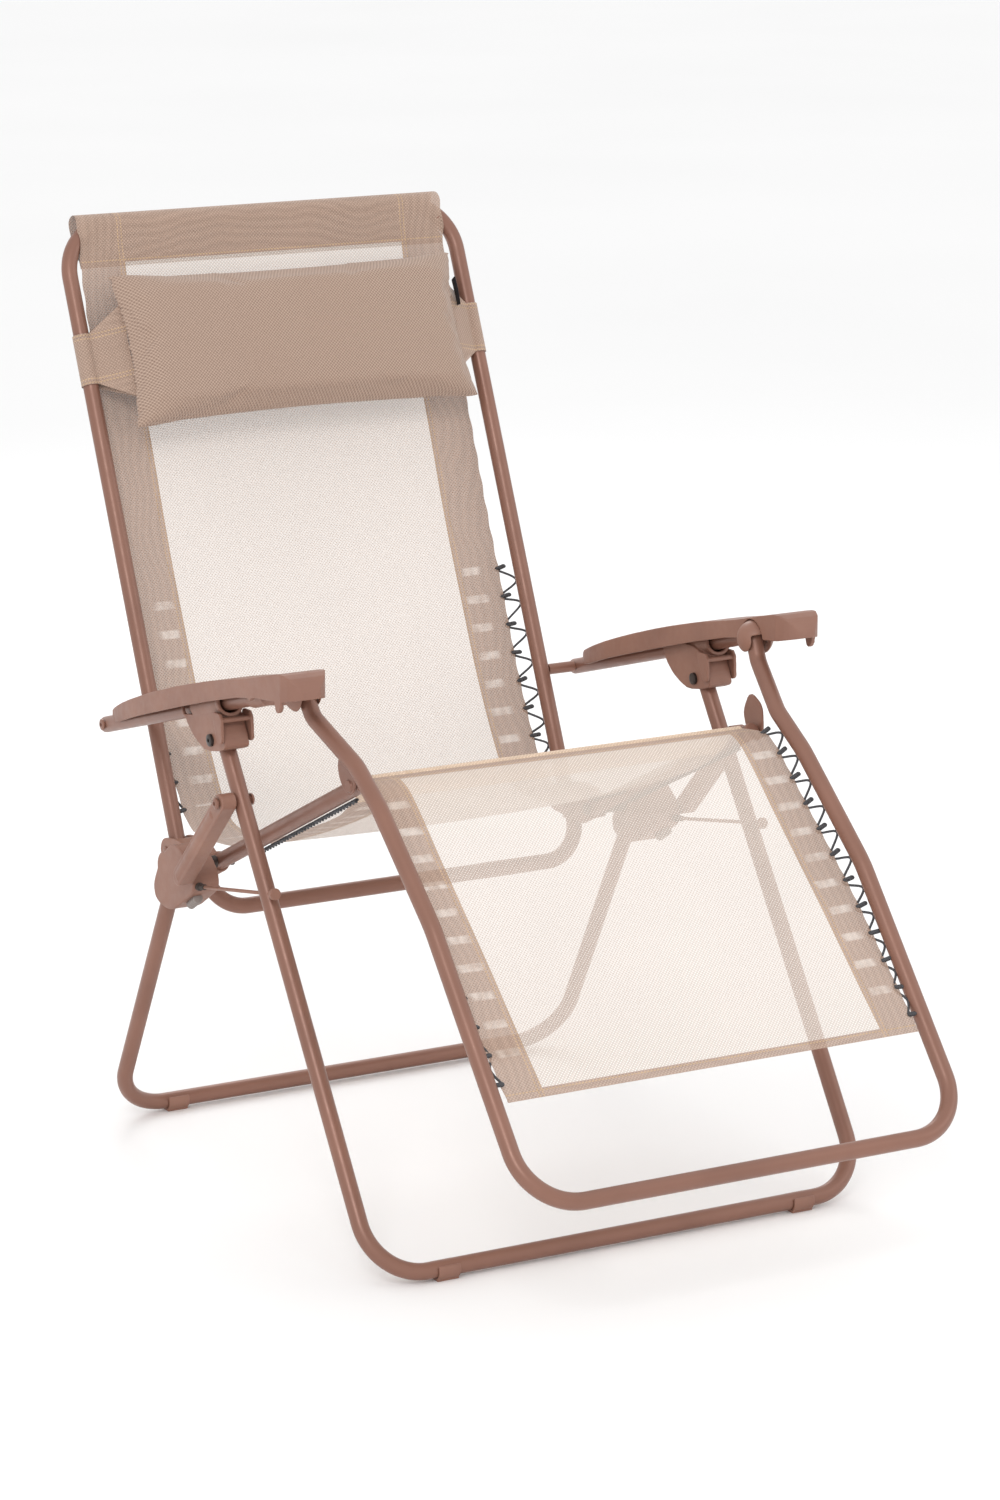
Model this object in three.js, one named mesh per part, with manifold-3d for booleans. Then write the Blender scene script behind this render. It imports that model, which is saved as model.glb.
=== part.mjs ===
// Zero gravity recliner: a folding lounge chair of bent steel tube with an elastic laced mesh sling,
// moulded armrests that slide and lock in brackets on the front legs, and a head pillow strapped to the back.
// Millimetres. X runs across the chair, -Y is the way the sitter faces, +Z is up and z = 0 is the floor.
// The _l nodes are on the sitter's left (+X) and the _r nodes mirror them.

import * as THREE from 'three';
import { mergeVertices } from 'three/addons/utils/BufferGeometryUtils.js';
import Module from 'manifold-3d';

const wasm = await Module();
wasm.setup();

// ---------------------------------------------------------------- driving dimensions

const tubeRadius = 10;
const tubeSides = 12;
const boltSides = 10;
const fit = 0.3;            // gap between pieces that touch
const boltRadius = 4;
const holeRadius = 4.3;
const legBend = 68;         // bend radius of the U frames
const bendStep = 18;        // degrees of bend between two sections of a bent tube
const footThickness = 3;    // the feet lift the floor bars by this much
const midDepth = 329.65;    // y of the middle of the chair's depth, in the design frame

// Half widths: distance of each tube's axis from the middle of the chair.
const frontLegX = 330;
const rearLegX = 322.7;
const linkX = 352;
const armX = 334;
const seatX = 262;
const backX = 275.6;
const hubInnerX = 306;
const hubOuterX = 340.7;

// Pivots as [y, z], with the floor bars' undersides at z = 0.
const legPivot = [327, 499];        // rear stand on the front leg
const bracketPivot = [370.5, 564];  // slide bracket on the top of the front leg
const seatPivot = [520, 372];       // seat on the hub
const backPivot = [615, 365];       // back on the knuckle
const kneePivot = [159, 546];       // legrest bracket on the front end of the seat tube
const armPivot = [683, 517.5];      // armrest on the back
const elbowPivot = [216, 646];      // legrest in the armrest's elbow
const leverPivot = [352, 597];      // lock lever on the bracket

// Straight runs as [y, z] ends.
const frontBar = [0, 10];
const rearBar = [714.7, 10];
const rearLegTop = [532, 350];
const linkEnd = [443.7, 382.3];
const seatTubeRear = [542.8, 362.2];
const backBarAt = [932.5, 1099];
const armSlope = -15.95;            // degrees, falling to the rear
const armRearY = 695;
const armFrontY = 262;

// ---------------------------------------------------------------- helpers

const radians = THREE.MathUtils.degToRad;

function point(x, [y, z]) {
  return new THREE.Vector3(x, y, z);
}

// The point on the line from a to b at a distance from a.
function along(a, b, distance) {
  const length = Math.hypot(b[0] - a[0], b[1] - a[1]);
  const t = distance / length;
  return [a[0] + (b[0] - a[0]) * t, a[1] + (b[1] - a[1]) * t];
}

function armAxisAt(y) {
  return [y, armPivot[1] + (y - armPivot[0]) * Math.tan(radians(armSlope))];
}

// A route of straight runs joined by arcs, sampled only at run ends and along the arcs.
class BentPath extends THREE.Curve {
  constructor(corners, bends) {
    super();
    this.stations = [];
    const last = corners.length - 1;
    const heading = (i) => corners[i + 1].clone().sub(corners[i]).normalize();
    this.stations.push({ at: corners[0].clone(), tangent: heading(0) });
    for (let i = 1; i < last; i++) {
      this.addArc(corners[i], heading(i - 1), heading(i), bends[i - 1]);
    }
    this.stations.push({ at: corners[last].clone(), tangent: heading(last - 1) });
  }

  addArc(corner, before, after, radius) {
    const turn = before.angleTo(after);
    const start = corner.clone().addScaledVector(before, -radius * Math.tan(turn / 2));
    const inward = after.clone().addScaledVector(before, -Math.cos(turn)).normalize();
    const steps = Math.max(2, Math.round(THREE.MathUtils.radToDeg(turn) / bendStep));
    for (let i = 0; i <= steps; i++) {
      const a = (turn * i) / steps;
      const at = start.clone();
      at.addScaledVector(before, radius * Math.sin(a));
      at.addScaledVector(inward, radius * (1 - Math.cos(a)));
      const tangent = before.clone().multiplyScalar(Math.cos(a));
      tangent.addScaledVector(inward, Math.sin(a));
      this.stations.push({ at, tangent });
    }
  }

  get steps() {
    return this.stations.length - 1;
  }

  getSpacedPoints() {
    return this.stations.map((station) => station.at.clone());
  }

  getTangentAt(u, target = new THREE.Vector3()) {
    return target.copy(this.stations[Math.round(u * this.steps)].tangent);
  }

  getPointAt(u, target = new THREE.Vector3()) {
    return target.copy(this.stations[Math.round(u * this.steps)].at);
  }
}

function circle(radius, sides) {
  const points = [];
  for (let i = 0; i < sides; i++) {
    const a = (2 * Math.PI * (i + 0.5)) / sides;
    points.push(new THREE.Vector2(radius * Math.cos(a), radius * Math.sin(a)));
  }
  return new THREE.Shape(points);
}

function bentTube(corners, bends, radius = tubeRadius, sides = tubeSides) {
  const path = new BentPath(corners, bends);
  const options = { steps: path.steps, bevelEnabled: false, extrudePath: path };
  return new THREE.ExtrudeGeometry(circle(radius, sides), options);
}

function rod(from, to, radius, sides = tubeSides) {
  return bentTube([from, to], [], radius, sides);
}

function crossRod(x0, x1, [y, z], radius, sides = tubeSides) {
  return rod(new THREE.Vector3(x0, y, z), new THREE.Vector3(x1, y, z), radius, sides);
}

// A round piece turned about an axis along X: each step is [x, radius].
function turned(steps, [y, z], sides = boltSides) {
  const profile = steps.map(([x, radius]) => new THREE.Vector2(radius, x));
  const geometry = new THREE.LatheGeometry(profile, sides);
  geometry.rotateZ(-Math.PI / 2);
  geometry.translate(0, y, z);
  return geometry;
}

// A side view outline of [y, z] points, extruded across the chair from x0 to x1, with rounded edges.
function sidePlate(outline, x0, x1, bevel = 0, bevelSteps = 1) {
  const shape = new THREE.Shape(outline.map(([y, z]) => new THREE.Vector2(y, z)));
  const options = {
    depth: x1 - x0 - 2 * bevel,
    bevelEnabled: bevel > 0,
    bevelThickness: bevel,
    bevelSize: bevel,
    bevelOffset: -bevel,
    bevelSegments: bevelSteps,
  };
  const geometry = new THREE.ExtrudeGeometry(shape, options);
  const axes = new THREE.Matrix4();
  axes.makeBasis(new THREE.Vector3(0, 1, 0), new THREE.Vector3(0, 0, 1), new THREE.Vector3(1, 0, 0));
  axes.setPosition(x0 + bevel, 0, 0);
  geometry.applyMatrix4(axes);
  return geometry;
}

// A plan view outline of [x, y] points, extruded upwards from z0 to z1.
function planPlate(outline, z0, z1) {
  const shape = new THREE.Shape(outline.map(([x, y]) => new THREE.Vector2(x, y)));
  const geometry = new THREE.ExtrudeGeometry(shape, { depth: z1 - z0, bevelEnabled: false });
  geometry.translate(0, 0, z0);
  return geometry;
}

// Points on an arc about a centre, from one angle to another in degrees.
function arc([y, z], radius, from, to, steps) {
  const points = [];
  for (let i = 0; i <= steps; i++) {
    const a = radians(from + ((to - from) * i) / steps);
    points.push([y + radius * Math.cos(a), z + radius * Math.sin(a)]);
  }
  return points;
}

// The outline of a strip of one thickness that follows a smooth side view line.
function strip(line, thickness, pieces) {
  const curve = new THREE.SplineCurve(line.map(([y, z]) => new THREE.Vector2(y, z)));
  const upper = [];
  const lower = [];
  for (let i = 0; i <= pieces; i++) {
    const at = curve.getPoint(i / pieces);
    const tangent = curve.getTangent(i / pieces);
    upper.push([at.x - (tangent.y * thickness) / 2, at.y + (tangent.x * thickness) / 2]);
    lower.push([at.x + (tangent.y * thickness) / 2, at.y - (tangent.x * thickness) / 2]);
  }
  return [...lower, ...upper.reverse()];
}

function solid(geometry) {
  const bare = geometry.clone();
  bare.deleteAttribute('normal');
  bare.deleteAttribute('uv');
  const merged = mergeVertices(bare, 1e-4);
  const vertProperties = merged.attributes.position.array;
  const triVerts = new Uint32Array(merged.index.array);
  return new wasm.Manifold(new wasm.Mesh({ numProp: 3, vertProperties, triVerts }));
}

function geometryOf(made) {
  const mesh = made.getMesh();
  const result = new THREE.BufferGeometry();
  result.setAttribute('position', new THREE.BufferAttribute(mesh.vertProperties, 3));
  result.setIndex(new THREE.BufferAttribute(mesh.triVerts, 1));
  result.computeVertexNormals();
  return result;
}

// One piece: shapes joined together, then other shapes cut away.
function shaped(joined, cuts = []) {
  let made = solid(joined[0]);
  for (const geometry of joined.slice(1)) {
    made = made.add(solid(geometry));
  }
  for (const geometry of cuts) {
    made = made.subtract(solid(geometry));
  }
  return geometryOf(made);
}

// ---------------------------------------------------------------- materials

const paintedSteel = new THREE.MeshStandardMaterial({ color: 0xa5735f, roughness: 0.38, metalness: 0.35 });
const plastic = new THREE.MeshStandardMaterial({ color: 0xa87862, roughness: 0.5, metalness: 0 });
const boltSteel = new THREE.MeshStandardMaterial({ color: 0x3c3a3a, roughness: 0.35, metalness: 0.9 });
const meshFabric = new THREE.MeshStandardMaterial({ color: 0xe6dcd2, roughness: 0.9, metalness: 0 });
const pillowFabric = new THREE.MeshStandardMaterial({ color: 0xb99b87, roughness: 0.95, metalness: 0 });
const webbing = new THREE.MeshStandardMaterial({ color: 0xb59a86, roughness: 0.9, metalness: 0 });
const elastic = new THREE.MeshStandardMaterial({ color: 0x2c2d30, roughness: 0.8, metalness: 0 });
const innerPlastic = new THREE.MeshStandardMaterial({ color: 0x4a3e38, roughness: 0.6, metalness: 0 });

// ---------------------------------------------------------------- assembly

const chair = new THREE.Group();
chair.position.set(0, -midDepth, footThickness);
const sides = { l: new THREE.Group(), r: new THREE.Group() };
sides.r.scale.x = -1;
chair.add(sides.l, sides.r);

function addPiece(name, geometry, material, parent = chair) {
  const mesh = new THREE.Mesh(geometry, material);
  mesh.name = name;
  parent.add(mesh);
}

function addPair(name, geometry, material) {
  for (const [side, group] of Object.entries(sides)) {
    addPiece(`${name}_${side}`, geometry, material, group);
  }
}

// ---------------------------------------------------------------- front stand

const frontLegTop = along(frontBar, bracketPivot, Math.hypot(370.5, 554) + 9);
const cableStart = [438.5, 368];
const cableHole = [258.7, 403];
const cableEnd = along(cableStart, cableHole, 197);
const cableX = 333;
const cableRadius = 2.2;

function legU(x, top, bar) {
  const corners = [point(-x, top), point(-x, bar), point(x, bar), point(x, top)];
  return bentTube(corners, [legBend, legBend]);
}

function bothSides(make) {
  return [make(1), make(-1)];
}

function frontLegCuts(side) {
  const x = side * frontLegX;
  return [
    crossRod(x - 20, x + 20, legPivot, holeRadius, boltSides),
    crossRod(x - 20, x + 20, bracketPivot, holeRadius, boltSides),
    rod(point(side * cableX, along(cableHole, cableStart, 25)),
      point(side * cableX, along(cableHole, cableEnd, 25)), cableRadius + 1, 8),
  ];
}

addPiece('front_leg_frame',
  shaped([legU(frontLegX, frontLegTop, frontBar)], bothSides(frontLegCuts).flat()), paintedSteel);

// A foot is a plastic saddle clipped round the floor bar, with a flat sole.
function foot(bar) {
  const x = 240;
  const half = 14;
  const outer = arc(bar, tubeRadius + 3, 30, -210, 16);
  const inner = arc(bar, tubeRadius + fit, -210, 30, 12);
  const flat = outer.map(([y, z]) => [y, Math.max(z, bar[1] - tubeRadius - footThickness)]);
  const sole = [[bar[0] - 8, -footThickness], [bar[0] + 8, -footThickness],
    [bar[0] + 8, 2], [bar[0] - 8, 2]];
  return shaped(
    [sidePlate([...flat, ...inner].reverse(), x - half, x + half), sidePlate(sole, x - half, x + half)],
    [crossRod(x - 20, x + 20, bar, tubeRadius + fit)],
  );
}

addPair('front_foot', foot(frontBar), plastic);

const linkInnerX = hubOuterX + 0.6;
const linkOuterX = linkX + 10.7;
addPair('link_pin', turned([
  [frontLegX - 14, 0], [frontLegX - 14, 7], [frontLegX - 11, 7], [frontLegX - 11, boltRadius],
  [linkOuterX + fit, boltRadius], [linkOuterX + fit, 7], [linkOuterX + 2.5, 7], [linkOuterX + 3.5, 0],
], legPivot), boltSteel);

// The limit cable ends in a mushroom stopper in front of the leg.
function cableStop() {
  const behind = along(cableStart, cableEnd, 197.5);
  const front = along(cableStart, cableEnd, 207);
  return shaped([
    rod(point(cableX, behind), point(cableX, front), 5, 12),
    rod(point(cableX, along(behind, front, 4)), point(cableX, front), 7, 12),
  ]);
}

addPair('cable_stop', cableStop(), innerPlastic);

// ---------------------------------------------------------------- rear stand

addPiece('rear_leg_frame', legU(rearLegX, rearLegTop, rearBar), paintedSteel);
addPair('rear_foot', foot(rearBar), plastic);

// The link is a round-edged bar whose upper end thins towards the leg.
function rearLink() {
  const direction = THREE.MathUtils.radToDeg(
    Math.atan2(linkEnd[1] - legPivot[1], linkEnd[0] - legPivot[0]));
  const radius = 10.7;
  const outline = [
    ...arc(legPivot, radius, direction + 90, direction + 270, 8),
    ...arc(linkEnd, radius, direction - 90, direction + 90, 8),
  ];
  const taper = new THREE.BoxGeometry(14, 60, 60);
  taper.rotateZ(radians(-20));
  taper.translate(linkOuterX + 3, 0, 0);
  taper.rotateX(radians(direction));
  taper.translate(0, ...along(legPivot, linkEnd, -30));
  return shaped(
    [sidePlate(outline, linkInnerX, linkOuterX, 4.5, 2)],
    [crossRod(linkInnerX - 5, linkOuterX + 5, legPivot, holeRadius, boltSides), taper],
  );
}

addPair('rear_link', rearLink(), plastic);

const hubOutline = [
  [553, 346], [549, 331], [535, 324.5], [511, 323], [494, 328], [474, 340], [450, 355], [442, 362],
  [440, 372], [444, 384], [461, 398], [475, 406], [489, 409], [506, 405], [523, 391], [540, 370],
];
const seatStopAt = [487, 371];

function hub() {
  return shaped(
    [
      sidePlate(hubOutline, hubInnerX, hubOuterX, 4, 2),
      crossRod(hubInnerX - 10, hubInnerX + 8, seatStopAt, 6, 12),
    ],
    [
      rod(point(rearLegX, along(rearLegTop, rearBar, -0.5)), point(rearLegX, rearBar), tubeRadius + fit),
      crossRod(hubInnerX - 5, rearLegX - 12.5, seatPivot, holeRadius, boltSides),
      rod(point(cableX, along(cableStart, cableEnd, -6.3)), point(cableX, cableEnd), cableRadius + fit, 8),
    ],
  );
}

addPair('hub', hub(), plastic);

addPair('hub_pin', turned([
  [seatX - 14, 0], [seatX - 14, 7], [seatX - 10.5, 7], [seatX - 10.5, boltRadius],
  [seatX + 10.5, boltRadius], [seatX + 10.5, 8], [hubInnerX - fit, 8],
  [hubInnerX - fit, boltRadius], [hubInnerX + 3.5, boltRadius], [hubInnerX + 3.5, 0],
], seatPivot), boltSteel);

addPair('limit_cable', rod(
  point(cableX, along(cableStart, cableEnd, -5.5)), point(cableX, cableEnd), cableRadius, 8,
), webbing);

// ---------------------------------------------------------------- seat

const crossTubeTop = [580, 363];
const crossTubeCorner = [556, 300];
const crossTubeBend = 50;

addPiece('cross_tube', bentTube(
  [point(-seatX, crossTubeTop), point(-seatX, crossTubeCorner),
    point(seatX, crossTubeCorner), point(seatX, crossTubeTop)], [crossTubeBend, crossTubeBend],
), paintedSteel);

const seatTubeFront = along(seatTubeRear, kneePivot, 434);
addPair('seat_tube', shaped(
  [rod(point(seatX, seatTubeRear), point(seatX, seatTubeFront), tubeRadius)],
  [
    crossRod(seatX - 20, seatX + 20, seatPivot, holeRadius, boltSides),
    crossRod(seatX - 20, seatX + 20, kneePivot, holeRadius, boltSides),
  ],
), paintedSteel);

const knuckleOuterX = 293.3;
const knuckleHead = 10;

// The knuckle joins the seat tube to the cross tube and carries the back tube between two ears.
function knuckle() {
  const inner = seatX - 4;
  const outer = knuckleOuterX;
  const earRadius = 17;
  const outline = [
    [545, 352], [560, 347], [590, 347], ...arc(backPivot, earRadius, -80, 80, 8), [590, 386], [566, 386],
    [545, 377],
  ];
  const sleeve = (a, b) => rod(point(seatX, a), point(seatX, b), tubeRadius + 3);
  const bore = (a, b) => rod(point(seatX, a), point(seatX, b), tubeRadius + fit);
  const swing = [[597, 395], ...arc(backPivot, earRadius + 0.5, 180, 270, 5), [640, 345], [640, 395]];
  return shaped(
    [
      sidePlate(outline, inner, outer, 1, 1),
      sleeve(along(seatTubeRear, kneePivot, 16), along(seatTubeRear, kneePivot, -10)),
      sleeve(along(crossTubeTop, crossTubeCorner, -6), along(crossTubeTop, crossTubeCorner, 15)),
    ],
    [
      bore(along(seatTubeRear, kneePivot, 60), along(seatTubeRear, kneePivot, -fit)),
      bore(along(crossTubeTop, crossTubeCorner, -fit), along(crossTubeTop, crossTubeCorner, 60)),
      sidePlate(swing, backX - 12, backX + 12.2),
      crossRod(seatX - 10, outer + 5, backPivot, holeRadius, boltSides),
    ],
  );
}

addPair('knuckle', knuckle(), plastic);

addPair('knee_pin', turned([
  [seatX - 14, 0], [seatX - 14, 7], [seatX - 11, 7], [seatX - 11, boltRadius],
  [seatX + 10, boltRadius], [seatX + 10, 0],
], kneePivot), boltSteel);

// Sling half widths and the side view lines that the fabric follows, as [y, z] points.
const slingX = 245;
const slingThickness = 3;
const seatSlingLine = [[583, 392], [513, 388], [424, 417], [330, 452], [247, 486], [186, 528], [172, 545]];
const backSlingLine = [[640, 402], [712, 520], [790, 700], [868, 900], [925.5, 1092]];
const legrestSlingLine = [[142, 555], [128, 557], [108, 546], [40, 483], [-78, 380], [-205, 262]];

function sling(line, pieces) {
  return sidePlate(strip(line, slingThickness, pieces), -slingX, slingX);
}

addPiece('seat_sling', sling(seatSlingLine, 14), meshFabric);

// ---------------------------------------------------------------- back

addPair('knuckle_pin', turned([
  [seatX - 6.5, 0], [seatX - 6.5, knuckleHead], [seatX - 4.3, knuckleHead], [seatX - 4.3, boltRadius],
  [knuckleOuterX + fit, boltRadius], [knuckleOuterX + fit, knuckleHead],
  [knuckleOuterX + 2.5, knuckleHead], [knuckleOuterX + 2.5, 0],
], backPivot), boltSteel);

const backFoot = along(backPivot, backBarAt, -9);

function backTube(radius) {
  const corners = [point(-backX, backFoot), point(-backX, backBarAt),
    point(backX, backBarAt), point(backX, backFoot)];
  return bentTube(corners, [legBend, legBend], radius);
}

function backPinHole(side) {
  return crossRod(side * backX - 20, side * backX + 20, backPivot, holeRadius, boltSides);
}

addPiece('back_frame', shaped([backTube(tubeRadius)], bothSides(backPinHole)), paintedSteel);

// The head of the sling is a sleeve: its fabric wraps the top bar between the bends.
function backSling() {
  const sleeveHalf = backX - legBend - 3;
  const wrap = crossRod(-sleeveHalf, sleeveHalf, backBarAt, tubeRadius + 2.3);
  return shaped([sling(backSlingLine, 10), wrap], [backTube(tubeRadius + fit)]);
}

addPiece('back_sling', backSling(), meshFabric);

// Elastic lacing runs in a narrow band between the sling's edge and the tube.
function lacing(line, outerX) {
  return sidePlate(strip(line, 2, 6), slingX + fit, outerX);
}

const backTubeLine = [60, 300, 540].map((distance) => along(backPivot, backBarAt, distance));
addPair('back_lacing', lacing(backTubeLine, backX - tubeRadius - fit), elastic);

// The pillow is a plump slab in front of the back sling, held by a strap at each end.
const pillowTop = [891, 1032];
const pillowBottom = [812, 852];
const pillowHalfWidth = 243;
const pillowHalfHeight = 100;
const pillowHalfThickness = 30;

function pillow() {
  const middle = along(pillowBottom, pillowTop, Math.hypot(79, 180) / 2);
  const slab = new THREE.SphereGeometry(1, 20, 10);
  const positions = slab.attributes.position;
  const power = 0.42;
  const plump = (v) => Math.sign(v) * Math.abs(v) ** power;
  for (let i = 0; i < positions.count; i++) {
    const x = plump(positions.getX(i)) * pillowHalfWidth;
    const y = positions.getY(i) * pillowHalfThickness;
    const z = plump(positions.getZ(i)) * pillowHalfHeight;
    positions.setXYZ(i, x, y, z);
  }
  slab.rotateX(-Math.atan2(79, 180));
  slab.translate(0, middle[0] - 24, middle[1] + 10);
  return slab;
}

addPiece('head_pillow', pillow(), pillowFabric);

// Each strap is a flat fabric loop round the back tube.
function pillowStrap() {
  const outer = tubeRadius + 2.3;
  const low = along(backPivot, backBarAt, 592);
  const high = along(backPivot, backBarAt, 657);
  return shaped(
    [rod(point(backX, low), point(backX, high), outer)],
    [rod(point(backX, along(low, high, -5)), point(backX, along(low, high, 80)), tubeRadius + fit)],
  );
}

addPair('pillow_strap', pillowStrap(), webbing);

// ---------------------------------------------------------------- slide brackets

const bracketInnerX = 315.5;
const bracketOuterX = 347.5;
const bracketWasher = 12.5;

// The bracket bridges the front leg's end and the armrest tube.
// The leg swings in its slot as the chair folds.
function slideBracket() {
  const innerX = bracketInnerX;
  const outerX = bracketOuterX;
  const outline = [
    [448, 598], [445, 586], [437, 573], [422, 561], [404, 553], [385, 548], [352, 554], [333, 561],
    [337, 574], [346, 588], [350, 598], [380, 606],
  ];
  const axis = armAxisAt(400);
  const collarRear = along(axis, armPivot, 46);
  const collarFront = along(axis, armPivot, -57);
  const legAngle = THREE.MathUtils.radToDeg(Math.atan2(-554, -370.5));
  const swingFrom = legAngle;
  const swingTo = -46;
  const half = 10.8;
  const far = 90;
  const offsetPoint = (angle, distance, offset) => [
    bracketPivot[0] + distance * Math.cos(radians(angle)) - offset * Math.sin(radians(angle)),
    bracketPivot[1] + distance * Math.sin(radians(angle)) + offset * Math.cos(radians(angle)),
  ];
  const swing = [
    offsetPoint(swingFrom, far, -half), offsetPoint((swingFrom + swingTo) / 2, far, 0),
    offsetPoint(swingTo, far, half), offsetPoint(swingTo, 0, half),
    offsetPoint(swingFrom, 0, -half),
  ];
  return shaped(
    [
      sidePlate(outline, innerX, outerX, 1.5, 1),
      rod(point(armX, collarFront), point(armX, collarRear), 16.5),
    ],
    [
      sidePlate(swing, frontLegX - half, frontLegX + half),
      crossRod(frontLegX - half, frontLegX + half, bracketPivot, 16),
      rod(point(armX, along(collarFront, collarRear, -5)),
        point(armX, along(collarFront, collarRear, 120)), 13.2),
      crossRod(innerX - 5, outerX + 5, bracketPivot, holeRadius, boltSides),
    ],
  );
}

addPair('bracket_bolt', turned([
  [bracketInnerX - 4, 0], [bracketInnerX - 4, 6.5], [bracketInnerX - 2.7, 7.5],
  [bracketInnerX - 2.7, bracketWasher], [bracketInnerX - fit, bracketWasher],
  [bracketInnerX - fit, boltRadius], [bracketOuterX + fit, boltRadius],
  [bracketOuterX + fit, bracketWasher], [bracketOuterX + 2.7, bracketWasher],
  [bracketOuterX + 2.7, 7.5], [bracketOuterX + 4, 6.5], [bracketOuterX + 4, 0],
], bracketPivot), boltSteel);

addPair('slide_bracket', slideBracket(), plastic);

// A bush inside the collar guides the armrest tube.
const bushCentre = armAxisAt(388);
addPair('slide_bush', shaped(
  [rod(point(armX, along(bushCentre, armPivot, -12)), point(armX, along(bushCentre, armPivot, 12)), 12.8)],
  [rod(point(armX, along(bushCentre, armPivot, -20)), point(armX, along(bushCentre, armPivot, 20)), 10.4)],
), innerPlastic);

// The lock lever is a yoke with a paddle on each side, under the tube in front of the collar.
function lockLever() {
  const tip = [338, 573];
  const outline = [
    ...arc(leverPivot, 5, -40, 90, 5), [338, 602], [333, 596], ...arc(tip, 6.5, 165, 345, 7),
  ];
  const paddle = (x) => sidePlate(outline, x - 1.75, x + 1.75);
  return shaped([
    paddle(armX + 17),
    paddle(armX - 22),
    crossRod(armX - 22, armX + 17, [338, 594], 3, 8),
  ]);
}

addPair('lock_lever', lockLever(), plastic);

// ---------------------------------------------------------------- armrests

addPair('arm_pin', turned([
  [backX + tubeRadius + fit, 0], [backX + tubeRadius + fit, 7], [armX - tubeRadius - fit, 7],
  [armX - tubeRadius - fit, boltRadius], [armX + tubeRadius + fit, boltRadius],
  [armX + tubeRadius + fit, 7], [armX + tubeRadius + 3, 7], [armX + tubeRadius + 3, 0],
], armPivot), boltSteel);

addPair('armrest_tube', shaped(
  [rod(point(armX, armAxisAt(armRearY)), point(armX, armAxisAt(armFrontY)), tubeRadius)],
  [crossRod(armX - 20, armX + 20, armPivot, holeRadius, boltSides)],
), paintedSteel);

const elbowX = 305.5;
const elbowRadius = 22;
const cavityRadius = 18;
const cavityX = 303;

// The elbow cap holds the armrest tube and lets the legrest tube swing in its cavity.
function elbow() {
  const ball = new THREE.SphereGeometry(elbowRadius, 16, 10);
  ball.translate(elbowX, ...elbowPivot);
  const cavity = new THREE.SphereGeometry(cavityRadius, 16, 10);
  cavity.translate(cavityX, ...elbowPivot);
  const socketRear = armAxisAt(282);
  const socketFront = armAxisAt(244);
  const swing = [elbowPivot, ...arc(elbowPivot, 70, -16, -204, 10)];
  return shaped(
    [
      ball,
      rod(point(armX, socketFront), point(armX, socketRear), 12.8),
      rod(point(elbowX + 4, elbowPivot), point(armX, armAxisAt(250)), 12.5),
    ],
    [
      cavity,
      sidePlate(swing, cavityX - 12.5, cavityX + 12.5),
      rod(point(armX, armAxisAt(armFrontY - fit)), point(armX, armAxisAt(320)), tubeRadius + fit),
      crossRod(cavityX - 17.5, cavityX + 18.5, elbowPivot, 3 + fit, 12),
    ],
  );
}

addPair('armrest_elbow', elbow(), plastic);

// The pad is a moulded shell over the tube, broad at the front and pointed at the rear.
// A hood covers the elbow.
const padOuterX = 360;
const padInnerX = 303;

function padSide(inset) {
  return [
    [667 - 2 * inset, 531], [664 - 2 * inset, 540 - inset], [597, 566 - inset], [510, 595 - inset],
    [427, 620 - inset], [340, 643 - inset], [253, 662 - inset], [190, 679 - inset],
    [162 + inset, 685 - inset],
    [149 + inset, 680 - inset], [142 + inset, 667], [143 + inset, 654 - 3 * inset], [254, 641 - 3 * inset],
    [373, 610 - 3 * inset], [569, 552 - 3 * inset], [640, 528 - 3 * inset],
  ];
}

function padPlan(inset) {
  const outer = padOuterX - inset;
  const inner = padInnerX + inset;
  return [
    [340 - inset, 668 - inset], [329 + inset, 668 - inset], [316 + inset, 640], [inner + 2, 560],
    [inner, 480], [inner - 3, 300], [inner - 3, 168], [inner + 6, 151 + inset], [inner + 18, 142 + inset],
    [outer - 18, 142 + inset], [outer - 6, 151 + inset], [outer, 168], [outer, 480], [outer - 3, 560],
    [outer - 9, 620],
  ];
}

function armrestPad() {
  const wall = 3;
  const shell = solid(sidePlate(padSide(0), padInnerX - 5, padOuterX + 5))
    .intersect(solid(planPlate(padPlan(0), 500, 720)));
  const hollow = solid(sidePlate(padSide(wall), padInnerX - 5, padOuterX + 5))
    .intersect(solid(planPlate(padPlan(wall), 500, 720)));
  const web = (y) => solid(sidePlate([[y, 500], [y + 5, 500], [y + 5, 720], [y, 720]], padInnerX, padOuterX));
  const inside = solid(sidePlate(padSide(wall - fit), padInnerX - 5, padOuterX + 5))
    .intersect(solid(planPlate(padPlan(wall - fit), 500, 720)));
  const webs = web(505).add(web(590)).intersect(inside);
  const clear = [
    rod(point(armX, armAxisAt(armRearY + 20)), point(armX, armAxisAt(armFrontY)), tubeRadius + fit),
    sidePlate(
      [[150, 600], [640, 480], [640, 521], [150, 664]],
      armX - tubeRadius - fit,
      armX + tubeRadius + fit,
    ),
    crossRod(padInnerX - 20, padInnerX + 22, elbowPivot, elbowRadius + 1, 24),
  ];
  let made = shell.subtract(hollow).add(webs);
  for (const geometry of clear) {
    made = made.subtract(solid(geometry));
  }
  return made;
}

addPair('armrest_pad', geometryOf(armrestPad()), plastic);

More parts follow.
